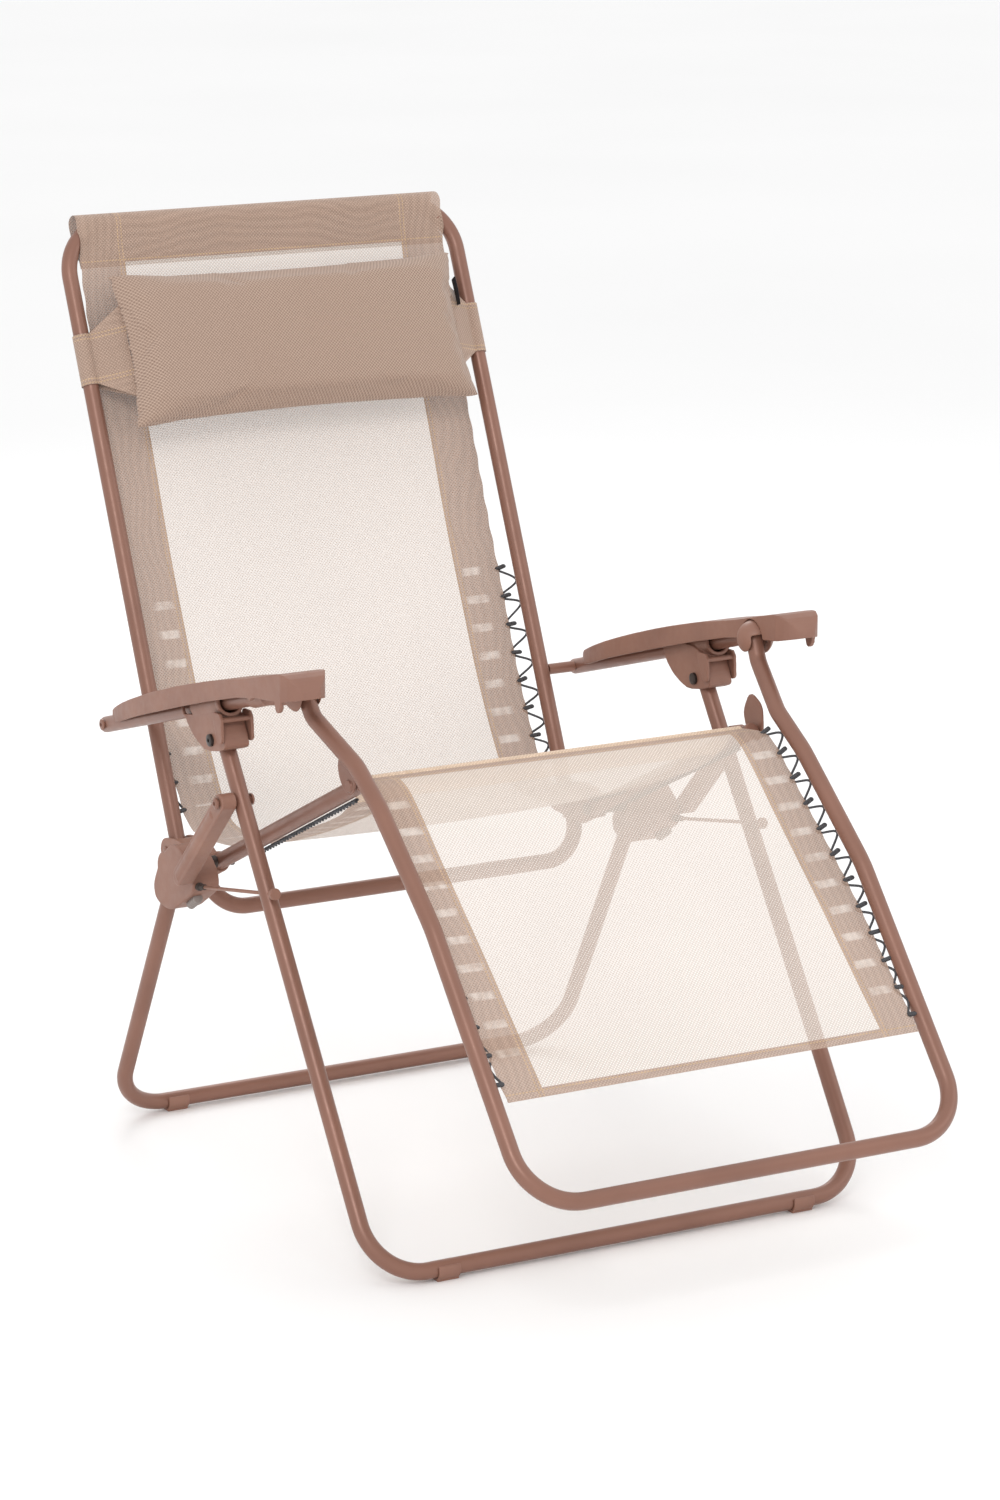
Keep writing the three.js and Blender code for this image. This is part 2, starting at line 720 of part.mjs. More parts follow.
// The pin carries a thrust washer on each side of the legrest tube.
addPair('elbow_pin', turned([
  [cavityX - 16, 0], [cavityX - 16, 3], [cavityX - 14.2, 3], [cavityX - 14.2, 10],
  [cavityX - 11.3, 10], [cavityX - 11.3, 3], [cavityX + 10.6, 3], [cavityX + 10.6, 10],
  [cavityX + 13.6, 10], [cavityX + 13.6, 3], [cavityX + 18, 3], [cavityX + 18, 0],
], elbowPivot, 12), boltSteel);

// ---------------------------------------------------------------- legrest

function legrestFrame() {
  const route = [
    [303, 216, 648], [300, 200, 621], [282, 128, 576], [283, 72, 540], [284.5, -55, 432],
    [284.5, -275.2, 170],
  ];
  const down = route.map(([x, y, z]) => new THREE.Vector3(-x, y, z));
  const up = route.map(([x, y, z]) => new THREE.Vector3(x, y, z)).reverse();
  const bends = [25, 60, 150, 150, legBend, legBend, 150, 150, 60, 25];
  const hole = (side) => crossRod(side * cavityX - 20, side * cavityX + 20, elbowPivot, 3 + fit, 12);
  return { tube: bentTube([...down, ...up], bends), holes: bothSides(hole) };
}

const legrest = legrestFrame();
addPiece('legrest_frame', shaped([legrest.tube], legrest.holes), paintedSteel);

// The knee bracket is a kite of plate welded under the legrest tube and riveted beside the seat tube's end.
function kneeBracket() {
  const outline = [
    [176, 592], [149, 580], [146, 552], [150, 540],
    [159, 534], [170, 536], [184, 548], [190, 566],
  ];
  const inner = seatX + tubeRadius + 0.6;
  const lower = new THREE.Vector3(282, 128, 576);
  const upper = new THREE.Vector3(300, 200, 621);
  const run = upper.clone().sub(lower);
  const far = upper.clone().addScaledVector(run, 0.5);
  const near = lower.clone().addScaledVector(run, -0.5);
  return shaped(
    [
      sidePlate(outline, inner, inner + 3),
      crossRod(inner + 2, inner + 5.5, kneePivot, 7, 12),
    ],
    [rod(near, far, tubeRadius + fit)],
  );
}

addPair('knee_bracket', kneeBracket(), paintedSteel);
addPiece('legrest_sling', sling(legrestSlingLine, 12), meshFabric);

const legrestLaceLine = [[90, 545], [0, 470], [-60, 415], [-200, 250]];
addPair('legrest_lacing', lacing(legrestLaceLine, 272), elastic);

export default chair;
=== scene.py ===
import math
from contextlib import contextmanager

import bmesh
import bpy
import numpy as np
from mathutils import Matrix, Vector
from mathutils.bvhtree import BVHTree


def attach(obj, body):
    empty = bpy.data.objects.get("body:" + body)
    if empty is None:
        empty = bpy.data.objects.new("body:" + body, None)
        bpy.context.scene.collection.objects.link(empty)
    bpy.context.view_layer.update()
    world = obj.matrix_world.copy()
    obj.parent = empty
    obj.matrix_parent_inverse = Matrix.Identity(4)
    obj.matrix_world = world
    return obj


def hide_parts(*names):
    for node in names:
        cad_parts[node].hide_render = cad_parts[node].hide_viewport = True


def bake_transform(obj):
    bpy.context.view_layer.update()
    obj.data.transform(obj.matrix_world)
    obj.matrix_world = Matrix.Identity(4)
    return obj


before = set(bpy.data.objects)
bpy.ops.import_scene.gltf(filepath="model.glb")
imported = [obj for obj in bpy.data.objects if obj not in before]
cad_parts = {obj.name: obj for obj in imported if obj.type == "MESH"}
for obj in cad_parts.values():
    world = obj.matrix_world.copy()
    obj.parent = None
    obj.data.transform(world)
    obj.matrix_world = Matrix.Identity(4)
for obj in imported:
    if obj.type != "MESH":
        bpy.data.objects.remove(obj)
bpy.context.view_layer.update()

# Lengths below are millimetres in the part's own design frame: X across, -Y to the front, Z up.
MM = 0.001
MID_DEPTH = 329.65
FOOT_THICKNESS = 3.0
TUBE = 10.0
LEG_BEND = 68.0

FRONT_LEG_X = 330.0
REAR_LEG_X = 322.7
LINK_X = 352.0
ARM_X = 334.0
SEAT_X = 262.0
BACK_X = 275.6
CAVITY_X = 303.0

LEG_PIVOT = (327, 499)
BRACKET_PIVOT = (370.5, 564)
SEAT_PIVOT = (520, 372)
BACK_PIVOT = (615, 365)
KNEE_PIVOT = (159, 546)
ARM_PIVOT = (683, 517.5)
ELBOW_PIVOT = (216, 646)
LEVER_PIVOT = (352, 597)
FRONT_BAR = (0, 10)
REAR_BAR = (714.7, 10)
BACK_BAR = (932.5, 1099)
ARM_SLOPE = math.tan(math.radians(-15.95))


def row(points):
    """Design millimetres to row metres."""
    p = np.array(points, float)
    return (p + np.array([0, -MID_DEPTH, FOOT_THICKNESS])) * MM


def row_point(x, y, z):
    return Vector(row([x, y, z]))


def along(a, b, distance):
    a, b = np.array(a, float), np.array(b, float)
    return tuple(a + (b - a) * distance / np.linalg.norm(b - a))


def arm_at(y):
    return (y, ARM_PIVOT[1] + (y - ARM_PIVOT[0]) * ARM_SLOPE)


def at(x, yz):
    return (x, yz[0], yz[1])


def unit(v):
    return v / np.linalg.norm(v)


def on_circle(centre, radius, degrees):
    angles = np.radians(degrees)
    return [(centre[0] + radius * math.cos(a), centre[1] + radius * math.sin(a)) for a in angles]


def arc_points(centre, radius, start, end, steps):
    return on_circle(centre, radius, np.linspace(start, end, steps + 1))


# ---------------------------------------------------------------- mesh helpers

def new_object(name, verts, faces, smooth=True):
    mesh = bpy.data.meshes.new(name)
    mesh.from_pydata(np.array(verts, float).tolist(), [], [tuple(f) for f in faces])
    mesh.update()
    if smooth:
        mesh.shade_smooth()
    obj = bpy.data.objects.new(name, mesh)
    bpy.context.scene.collection.objects.link(obj)
    return obj


def evaluated(obj):
    """The object's mesh with its modifiers applied, in place."""
    bpy.context.view_layer.update()
    depsgraph = bpy.context.evaluated_depsgraph_get()
    mesh = bpy.data.meshes.new_from_object(obj.evaluated_get(depsgraph))
    obj.modifiers.clear()
    obj.data = mesh


@contextmanager
def editing(obj):
    bm = bmesh.new()
    bm.from_mesh(obj.data)
    yield bm
    bm.to_mesh(obj.data)
    bm.free()


def sharpen(obj, degrees):
    """Marks hard edges, so that smooth shading keeps them."""
    limit = math.radians(degrees)
    with editing(obj) as bm:
        for f in bm.faces:
            f.smooth = True
        for e in bm.edges:
            e.smooth = len(e.link_faces) != 2 or e.calc_face_angle(0) < limit


def bent_route(corners, bends, step=4.0):
    """Points along straight runs joined by arcs."""
    c = [np.array(p, float) for p in corners]
    points = [c[0]]
    for i in range(1, len(c) - 1):
        before, after = unit(c[i] - c[i - 1]), unit(c[i + 1] - c[i])
        turn = math.acos(np.clip(before @ after, -1, 1))
        radius = bends[i - 1]
        start = c[i] - before * radius * math.tan(turn / 2)
        inward = unit(after - before * math.cos(turn))
        n = max(3, int(math.degrees(turn) / step))
        for k in range(n + 1):
            a = turn * k / n
            points.append(start + before * radius * math.sin(a) + inward * radius * (1 - math.cos(a)))
    points.append(c[-1])
    return np.array(points)


def frames_along(points):
    """A tangent and two steady side directions at each point of a route."""
    tangents = np.gradient(points, axis=0)
    tangents /= np.linalg.norm(tangents, axis=1)[:, None]
    side = unit(np.cross(tangents[0], [0.12, 0.3, 1.0]))
    sides = []
    for t in tangents:
        side = unit(side - t * (side @ t))
        sides.append(side)
    sides = np.array(sides)
    return tangents, sides, np.cross(tangents, sides)


def swept(points, radius, around=24, squash=1.0, closed=False, rounding=1.2):
    """Vertices and faces of a round bar along a route, in the route's own units.
    Its ends are rounded over, unless it is closed on itself."""
    points = np.array(points, float)
    tangents, sides, ups = frames_along(points)
    if not closed:
        head = [points[0], points[0] + tangents[0] * rounding]
        tail = [points[-1] - tangents[-1] * rounding, points[-1]]
        points = np.vstack([head, points[1:-1], tail])
        sides = np.vstack([sides[:1], sides, sides[-1:]])
        ups = np.vstack([ups[:1], ups, ups[-1:]])
    radii = np.full(len(points), radius)
    if not closed:
        radii[0] = radii[-1] = radius - min(rounding, radius * 0.4)
    angles = np.arange(around) * 2 * math.pi / around
    ring = (np.cos(angles)[None, :, None] * sides[:, None, :]
            + squash * np.sin(angles)[None, :, None] * ups[:, None, :])
    verts = (points[:, None, :] + ring * radii[:, None, None]).reshape(-1, 3)
    n = len(points)
    faces = []
    for i in range(n if closed else n - 1):
        this, after = i * around, ((i + 1) % n) * around
        for j in range(around):
            k = (j + 1) % around
            faces.append((this + j, this + k, after + k, after + j))
    if not closed:
        faces.append(tuple(range(around))[::-1])
        faces.append(tuple((n - 1) * around + j for j in range(around)))
    return verts, faces


def combined(parts):
    """Several (verts, faces) pairs as one."""
    verts, faces, base = [], [], 0
    for v, f in parts:
        verts.append(np.array(v, float))
        faces += [tuple(i + base for i in face) for face in f]
        base += len(v)
    return np.vstack(verts), faces


def outward(obj):
    with editing(obj) as bm:
        bmesh.ops.recalc_face_normals(bm, faces=bm.faces)
    return obj


def mirrored(verts, faces):
    v = np.array(verts, float).copy()
    v[:, 0] *= -1
    return v, [tuple(reversed(f)) for f in faces]


def rounded(outline, rounds=2):
    """Corner cutting, which leaves a smooth outline through the same sides."""
    p = np.array(outline, float)
    for _ in range(rounds):
        after = np.roll(p, -1, 0)
        p = np.stack([p * 0.8 + after * 0.2, p * 0.2 + after * 0.8], 1).reshape(-1, 2)
    return p


def plate(low, high):
    """Two outlines of as many points, joined by a wall."""
    n = len(low)
    faces = [tuple(range(n)), tuple(range(2 * n - 1, n - 1, -1))]
    faces += [(i, i + n, (i + 1) % n + n, (i + 1) % n) for i in range(n)]
    return low + high, faces


def side_plate(outline, x0, x1):
    """A side view outline extruded across the chair."""
    return plate([(x0, y, z) for y, z in outline], [(x1, y, z) for y, z in outline])


def plan_plate(outline, z0, z1):
    return plate([(x, y, z0) for x, y in outline], [(x, y, z1) for x, y in outline])


def rod(a, b, radius, around=32):
    return swept([a, b], radius, around, rounding=0.01)


def cross_rod(x0, x1, yz, radius, around=32):
    return rod(at(x0, yz), at(x1, yz), radius, around)


def rod_in(x, a, b, radius, around=32):
    """A rod from a to b in the side view, at x across the chair."""
    return rod(at(x, a), at(x, b), radius, around)


def ball(x, yz, radius):
    bm = bmesh.new()
    bmesh.ops.create_uvsphere(bm, u_segments=40, v_segments=24, radius=radius)
    verts = [np.array(v.co) + np.array(at(x, yz)) for v in bm.verts]
    faces = [tuple(v.index for v in f.verts) for f in bm.faces]
    bm.free()
    return verts, faces


def turned(steps, yz, around=32):
    """A round piece about an axis along X, from [x, radius] steps. The ends close on the axis."""
    angles = [2 * math.pi * j / around for j in range(around)]
    verts = [(x, yz[0] + r * math.cos(a), yz[1] + r * math.sin(a)) for x, r in steps for a in angles]
    faces = []
    for i in range(len(steps) - 1):
        for j in range(around):
            k = (j + 1) % around
            faces.append((i * around + j, (i + 1) * around + j, (i + 1) * around + k, i * around + k))
    faces.append(tuple(range(around)))
    faces.append(tuple(len(verts) - around + j for j in reversed(range(around))))
    return verts, faces


def scratch_object(part):
    return outward(new_object("scratch", *part, smooth=False))


def boolean(obj, part, operation):
    other = scratch_object(part)
    modifier = obj.modifiers.new("cut", "BOOLEAN")
    modifier.operation = operation
    modifier.solver = "EXACT"
    modifier.object = other
    evaluated(obj)
    taken(other)


def taken(obj):
    """The object's vertices and faces. The object itself is removed."""
    mesh = obj.data
    parts = [tuple(v.co) for v in mesh.vertices], [tuple(p.vertices) for p in mesh.polygons]
    bpy.data.objects.remove(obj)
    bpy.data.meshes.remove(mesh)
    return parts


def cut_from(part, cuts, keep=None):
    """A part with others cut away, and limited to keep where that is given."""
    obj = scratch_object(part)
    if keep is not None:
        boolean(obj, keep, "INTERSECT")
    for cut in cuts:
        boolean(obj, cut, "DIFFERENCE")
    return taken(obj)


def moulded(adds, cuts=(), voxel=1.0, softness=4, keep_ratio=0.5):
    """Shapes fused into one moulding with softly rounded edges. Returns vertices and faces."""
    obj = scratch_object(combined([cut_from(a, cuts) if cuts else a for a in adds]))
    remesh = obj.modifiers.new("fuse", "REMESH")
    remesh.mode = "VOXEL"
    remesh.voxel_size = voxel
    smooth = obj.modifiers.new("soften", "SMOOTH")
    smooth.factor = 0.5
    smooth.iterations = softness
    thin = obj.modifiers.new("thin", "DECIMATE")
    thin.ratio = keep_ratio
    evaluated(obj)
    return taken(obj)


# ---------------------------------------------------------------- shader helpers

class Nodes:
    """A small builder for node materials."""

    def __init__(self, name):
        self.material = bpy.data.materials.new(name)
        self.material.use_nodes = True
        self.tree = self.material.node_tree
        self.bsdf = self.tree.nodes["Principled BSDF"]

    def add(self, kind, **settings):
        node = self.tree.nodes.new(kind)
        for key, value in settings.items():
            setattr(node, key, value)
        return node

    def link(self, value, socket):
        if isinstance(value, bpy.types.NodeSocket):
            self.tree.links.new(value, socket)
        else:
            socket.default_value = value

    def math(self, operation, a, b=0.0, c=0.0):
        node = self.add("ShaderNodeMath", operation=operation)
        for value, socket in zip((a, b, c), node.inputs):
            self.link(value, socket)
        return node.outputs[0]

    def times(self, a, b):
        return self.math("MULTIPLY", a, b)

    def over(self, a, b):
        return self.math("GREATER_THAN", a, b)

    def under(self, a, b):
        return self.math("LESS_THAN", a, b)

    def most(self, a, b):
        return self.math("MAXIMUM", a, b)

    def mix(self, factor, a, b):
        node = self.add("ShaderNodeMix", data_type="RGBA")
        self.link(factor, node.inputs["Factor"])
        for value, socket in ((a, node.inputs[6]), (b, node.inputs[7])):
            self.link(value if isinstance(value, bpy.types.NodeSocket) else (*value, 1.0), socket)
        return node.outputs[2]

    def range(self, value, low, high, out_low, out_high):
        node = self.add("ShaderNodeMapRange")
        for v, socket in zip((value, low, high, out_low, out_high), node.inputs):
            self.link(v, socket)
        return node.outputs[0]

    def noise(self, scale, detail=3.0, vector=None, roughness=0.5):
        node = self.add("ShaderNodeTexNoise")
        self.link(vector or self.place(), node.inputs["Vector"])
        node.inputs["Scale"].default_value = scale
        node.inputs["Detail"].default_value = detail
        node.inputs["Roughness"].default_value = roughness
        return node.outputs["Fac"]

    def place(self):
        return self.add("ShaderNodeTexCoord").outputs["Object"]

    def uv(self):
        split = self.add("ShaderNodeSeparateXYZ")
        self.tree.links.new(self.add("ShaderNodeUVMap").outputs[0], split.inputs[0])
        return split.outputs[0], split.outputs[1]

    def bump(self, height, strength, distance):
        node = self.add("ShaderNodeBump")
        node.inputs["Strength"].default_value = strength
        node.inputs["Distance"].default_value = distance
        self.tree.links.new(height, node.inputs["Height"])
        self.tree.links.new(node.outputs[0], self.bsdf.inputs["Normal"])

    def set(self, **values):
        for key, value in values.items():
            self.link(value, self.bsdf.inputs[key.replace("_", " ")])


def srgb(r, g, b):
    """A screen colour from 0 to 255 as linear light."""
    return tuple(((c / 255 + 0.055) / 1.055) ** 2.4 for c in (r, g, b))


def painted_steel():
    n = Nodes("painted_steel")
    broad, fine = n.noise(9, 3), n.noise(900, 2)
    n.set(Base_Color=n.mix(n.range(broad, 0.3, 0.7, 0, 1), srgb(129, 90, 75), srgb(139, 98, 82)))
    n.set(Roughness=n.range(n.noise(60, 4), 0.3, 0.7, 0.34, 0.46))
    n.set(Metallic=0.25, Coat_Weight=0.15, Coat_Roughness=0.35)
    n.bump(fine, 0.12, 0.0002)
    return n.material


def moulded_plastic():
    n = Nodes("moulded_plastic")
    broad, grain = n.noise(14, 3), n.noise(1500, 3)
    n.set(Base_Color=n.mix(n.range(broad, 0.3, 0.7, 0, 1), srgb(134, 95, 80), srgb(146, 105, 88)))
    n.set(Roughness=n.range(n.noise(90, 4), 0.3, 0.7, 0.42, 0.56))
    n.bump(grain, 0.3, 0.0003)
    return n.material


def dark_steel():
    n = Nodes("bolt_steel")
    n.set(Base_Color=n.mix(n.noise(160, 3), srgb(58, 52, 50), srgb(84, 76, 73)))
    n.set(Roughness=n.range(n.noise(400, 2), 0.3, 0.7, 0.28, 0.45))
    n.set(Metallic=0.85)
    n.bump(n.noise(1200, 2), 0.1, 0.0002)
    return n.material


def dark_rubber(name, low, high):
    n = Nodes(name)
    n.set(Base_Color=n.mix(n.noise(220, 3), srgb(*low), srgb(*high)))
    n.set(Roughness=n.range(n.noise(500, 2), 0.3, 0.7, 0.6, 0.8))
    n.bump(n.noise(1800, 2), 0.4, 0.0003)
    return n.material


def elastic_cord_material():
    """A woven sheath: fine slanting threads."""
    n = Nodes("elastic_cord")
    wave = n.add("ShaderNodeTexWave", bands_direction="DIAGONAL")
    wave.inputs["Scale"].default_value = 420
    wave.inputs["Distortion"].default_value = 1.5
    n.link(n.place(), wave.inputs["Vector"])
    n.set(Base_Color=n.mix(wave.outputs["Fac"], srgb(38, 38, 41), srgb(92, 92, 96)))
    n.set(Roughness=0.75)
    n.bump(wave.outputs["Fac"], 0.5, 0.0004)
    return n.material


def coated_cable_material():
    n = Nodes("coated_cable")
    n.set(Base_Color=n.mix(n.noise(120, 3), srgb(132, 92, 76), srgb(148, 106, 88)))
    n.set(Roughness=n.range(n.noise(300, 2), 0.3, 0.7, 0.4, 0.55))
    n.bump(n.noise(1600, 2), 0.2, 0.0002)
    return n.material


WEAVE = 0.0044
STITCH = 0.0042
TAB_PITCH = 0.0375


def woven(name, inner, length, low_band, high_band, tabs=(0.0, 0.0), layers=1, crest=0.0):
    """See-through mesh cloth. UV holds metres: across from the middle, and along from the start.
    Beyond inner, and within the bands at both ends, the cloth is doubled over as a hem."""
    n = Nodes(name)
    u, v = n.uv()
    across = n.math("ABSOLUTE", u)
    wave = lambda value, pitch, shift=0.0: n.math(
        "SINE", n.math("MULTIPLY_ADD", value, 2 * math.pi / pitch, shift))
    threads = n.times(wave(u, WEAVE), wave(v, WEAVE))
    under = n.times(wave(u, WEAVE * 1.045, 0.6), wave(v, WEAVE * 0.965, 1.1))
    hem = n.over(across, inner)
    low = n.under(v, low_band)
    high = n.over(v, length - high_band)
    double = n.most(hem, n.most(low, high))
    if layers > 1:
        double = n.most(double, 1.0)
    beat = n.times(n.times(threads, under), double)
    seam = 0.0
    for offset in (0.0015, 0.0065):
        near = n.under(n.math("ABSOLUTE", n.math("SUBTRACT", across, inner + offset)), 0.0008)
        dash = n.over(wave(v, STITCH), -0.45)
        seam = n.most(seam, n.times(near, dash))
    for band, edge in ((low_band, low_band - 0.003), (high_band, length - high_band + 0.003)):
        if band > 0.004:
            near = n.under(n.math("ABSOLUTE", n.math("SUBTRACT", v, edge)), 0.0008)
            dash = n.over(wave(u, STITCH), -0.45)
            seam = n.most(seam, n.times(near, dash))
    tab = 0.0
    if tabs[1] > tabs[0]:
        wobble = n.math("MULTIPLY_ADD", n.noise(40, 3), 0.02, -0.01)
        inside = n.times(n.range(n.math("SUBTRACT", across, wobble), inner + 0.006, inner + 0.012, 0, 1),
                         n.range(n.math("ADD", across, wobble), inner + 0.032, inner + 0.040, 1, 0))
        beats = n.range(n.math("PINGPONG", v, TAB_PITCH / 2), 0.0040, 0.0062, 1, 0)
        span = n.times(n.over(v, tabs[0]), n.under(v, tabs[1]))
        tab = n.times(n.times(inside, beats), span)
        tab = n.times(tab, n.range(n.noise(70, 3), 0.35, 0.6, 0.35, 1))
    tone = n.range(n.noise(5, 3), 0.3, 0.7, -0.03, 0.03)
    drift = n.times(n.noise(7, 2), 40)
    ripple = n.times(n.math("SINE", n.math("MULTIPLY_ADD", u, 520, drift)), hem)
    crossing = n.times(n.math("SINE", n.math("MULTIPLY_ADD", v, 560, drift)),
                       n.times(high, n.math("SUBTRACT", 1.0, hem)))
    moire = n.math("ADD", ripple, crossing)
    tone = n.math("MULTIPLY_ADD", moire, 0.05, tone)
    ends = n.times(n.most(low, high), crest)
    shade = n.math("MULTIPLY_ADD", threads, 0.5, 0.5)
    light = n.mix(shade, srgb(196, 178, 165), srgb(240, 231, 223))
    dark = n.mix(shade, srgb(146, 120, 105), srgb(196, 170, 153))
    dark = n.mix(n.math("MULTIPLY_ADD", beat, 0.3, 0.3), dark, srgb(178, 150, 132))
    dark = n.mix(ends, dark, n.mix(shade, srgb(206, 176, 150), srgb(236, 211, 187)))
    colour = n.mix(double, light, dark)
    colour = n.mix(n.times(tab, 0.55), colour, srgb(226, 210, 197))
    colour = n.mix(n.times(seam, 0.7), colour, srgb(200, 168, 130))
    bright = n.add("ShaderNodeHueSaturation")
    n.link(colour, bright.inputs["Color"])
    n.link(n.math("ADD", tone, 1.0), bright.inputs["Value"])
    n.set(Base_Color=bright.outputs[0], Roughness=0.78, Sheen_Weight=0.15)
    gap = n.math("SUBTRACT", 1.0, n.math("ABSOLUTE", threads))
    single = n.range(gap, 0.2, 1.0, 0.96, 0.50)
    doubled = n.range(gap, 0.2, 1.0, 1.0, 0.82)
    alpha = n.math("ADD", n.times(single, n.math("SUBTRACT", 1.0, double)), n.times(doubled, double))
    alpha = n.math("SUBTRACT", alpha, n.times(tab, 0.1))
    n.set(Alpha=n.most(alpha, seam))
    n.bump(threads, 0.6, 0.0006)
    return n.material


def pillow_cloth():
    """A closer weave than the sling's, opaque over its filling."""
    n = Nodes("pillow_cloth")
    split = n.add("ShaderNodeSeparateXYZ")
    turn = n.add("ShaderNodeMapping")
    turn.inputs["Rotation"].default_value = (PILLOW_TILT, 0, 0)
    n.link(n.place(), turn.inputs["Vector"])
    n.link(turn.outputs[0], split.inputs[0])
    wave = lambda value: n.math("SINE", n.times(value, 2 * math.pi / WEAVE))
    threads = n.times(wave(split.outputs[0]), wave(split.outputs[2]))
    shade = n.math("MULTIPLY_ADD", threads, 0.5, 0.5)
    colour = n.mix(shade, srgb(136, 110, 96), srgb(196, 170, 152))
    colour = n.mix(n.range(n.noise(7, 3), 0.35, 0.65, 0, 0.25), colour, srgb(166, 138, 121))
    n.set(Base_Color=colour, Roughness=0.85, Sheen_Weight=0.2)
    n.bump(threads, 0.7, 0.0008)
    return n.material


def seam_material():
    n = Nodes("seam_piping")
    wave = n.add("ShaderNodeTexWave")
    wave.inputs["Scale"].default_value = 300
    n.link(n.place(), wave.inputs["Vector"])
    n.set(Base_Color=n.mix(wave.outputs["Fac"], srgb(140, 106, 88), srgb(190, 158, 138)), Roughness=0.85)
    n.bump(wave.outputs["Fac"], 0.5, 0.0004)
    return n.material


def clip_plastic():
    n = Nodes("clip_plastic")
    n.set(Base_Color=n.mix(n.noise(60, 3), srgb(120, 110, 106), srgb(150, 140, 134)), Roughness=0.55)
    n.bump(n.noise(900, 3), 0.3, 0.0003)
    return n.material


pillow_top, pillow_bottom = np.array([891.0, 1032.0]), np.array([812.0, 852.0])
PILLOW_TILT = math.atan2(pillow_top[0] - pillow_bottom[0], pillow_top[1] - pillow_bottom[1])

STEEL = painted_steel()
PLASTIC = moulded_plastic()
BOLT = dark_steel()
CORD = elastic_cord_material()
CABLE = coated_cable_material()
INNER = dark_rubber("inner_plastic", (48, 40, 36), (70, 59, 53))
TAG = dark_rubber("tab_cloth", (26, 28, 34), (44, 46, 54))
CLIP = clip_plastic()
PIPING = seam_material()


def finish_piece(obj, material, body, *nodes, slot=None):
    """Gives the piece the material and puts it on the body, hiding the nodes it stands for. slot is not used.
    """
    obj.data.materials.clear()
    obj.data.materials.append(material)
    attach(obj, body)
    if nodes:
        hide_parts(*nodes)


def place_part(name, part, material, body, *nodes, hard=38, slot=None):
    """A piece from design millimetres, put in the row frame on its body."""
    obj = new_object(name, row(part[0]), part[1])
    outward(obj)
    if hard:
        sharpen(obj, hard)
    finish_piece(obj, material, body, *nodes, slot=slot)


def place_pair(name, part, material, body, node=True, hard=38, slot=None):
    """The same piece on both sides. body may hold a {} for the side."""
    for side, shape in (("l", part), ("r", mirrored(*part))):
        nodes = (f"{name}_{side}",) if node else ()
        place_part(f"{name}_{side}.look", shape, material, body.format(side), *nodes, hard=hard, slot=slot)


# ---------------------------------------------------------------- steel tubes

def u_route(x, top, bar, bend=LEG_BEND, step=4.0):
    return bent_route([at(-x, top), at(-x, bar), at(x, bar), at(x, top)], [bend, bend], step)


def u_frame(*place):
    return swept(u_route(*place), TUBE)


front_top = along(FRONT_BAR, BRACKET_PIVOT, math.hypot(370.5, 554) + 9)
place_part("front_leg.look", u_frame(FRONT_LEG_X, front_top, FRONT_BAR), STEEL,
           "front_stand", "front_leg_frame")
REAR_TOP = (532, 350)
place_part("rear_leg.look", u_frame(REAR_LEG_X, REAR_TOP, REAR_BAR), STEEL, "rear_stand", "rear_leg_frame")

CROSS_TOP, CROSS_CORNER = (580, 363), (556, 300)
place_part("cross_tube.look", u_frame(SEAT_X, CROSS_TOP, CROSS_CORNER, 50), STEEL, "seat", "cross_tube")

SEAT_REAR = (542.8, 362.2)
SEAT_FRONT = along(SEAT_REAR, KNEE_PIVOT, 434)
place_pair("seat_tube", swept([at(SEAT_X, SEAT_REAR), at(SEAT_X, SEAT_FRONT)], TUBE), STEEL, "seat")

BACK_FOOT = along(BACK_PIVOT, BACK_BAR, -9)
place_part("back_frame.look", u_frame(BACK_X, BACK_FOOT, BACK_BAR), STEEL, "back", "back_frame")

place_pair("armrest_tube", swept([at(ARM_X, arm_at(695)), at(ARM_X, arm_at(262))], TUBE), STEEL, "armrests")

LEG_ROUTE = [(303, 216, 648), (300, 200, 621), (282, 128, 576), (283, 72, 540), (284.5, -55, 432),
             (284.5, -275.2, 170)]
legrest_corners = [(-x, y, z) for x, y, z in LEG_ROUTE] + LEG_ROUTE[::-1]
LEGREST_BENDS = [25, 60, 150, 150, LEG_BEND, LEG_BEND, 150, 150, 60, 25]
legrest_route = bent_route(legrest_corners, LEGREST_BENDS)
place_part("legrest_frame.look", swept(legrest_route, TUBE), STEEL, "legrest", "legrest_frame")

knee_outline = [(176, 592), (149, 580), (146, 552), (150, 540),
                (159, 534), (170, 536), (184, 548), (190, 566)]
knee_inner = SEAT_X + TUBE + 0.6
place_pair("knee_bracket", moulded(
    [side_plate(rounded(knee_outline), knee_inner, knee_inner + 3),
     cross_rod(knee_inner + 1, knee_inner + 5.3, KNEE_PIVOT, 7)], voxel=0.7, softness=2, keep_ratio=0.4),
    STEEL, "legrest", hard=0)

# ---------------------------------------------------------------- feet

def foot(bar):
    outer = arc_points(bar, TUBE + 3, 32, -212, 40)
    flat = [(y, max(z, bar[1] - TUBE - FOOT_THICKNESS)) for y, z in outer]
    inner = arc_points(bar, TUBE + 0.3, -212, 32, 40)
    sole = [(bar[0] - 8, -3), (bar[0] + 8, -3), (bar[0] + 8, 2), (bar[0] - 8, 2)]
    clear = cross_rod(200, 280, bar, TUBE + 0.3)
    return moulded([side_plate(flat + inner, 226, 254), cut_from(side_plate(sole, 226, 254), [clear])],
                   voxel=0.8, softness=2, keep_ratio=0.4)


place_pair("front_foot", foot(FRONT_BAR), PLASTIC, "front_stand", hard=0)
place_pair("rear_foot", foot(REAR_BAR), PLASTIC, "rear_stand", hard=0)

# ---------------------------------------------------------------- hubs and links

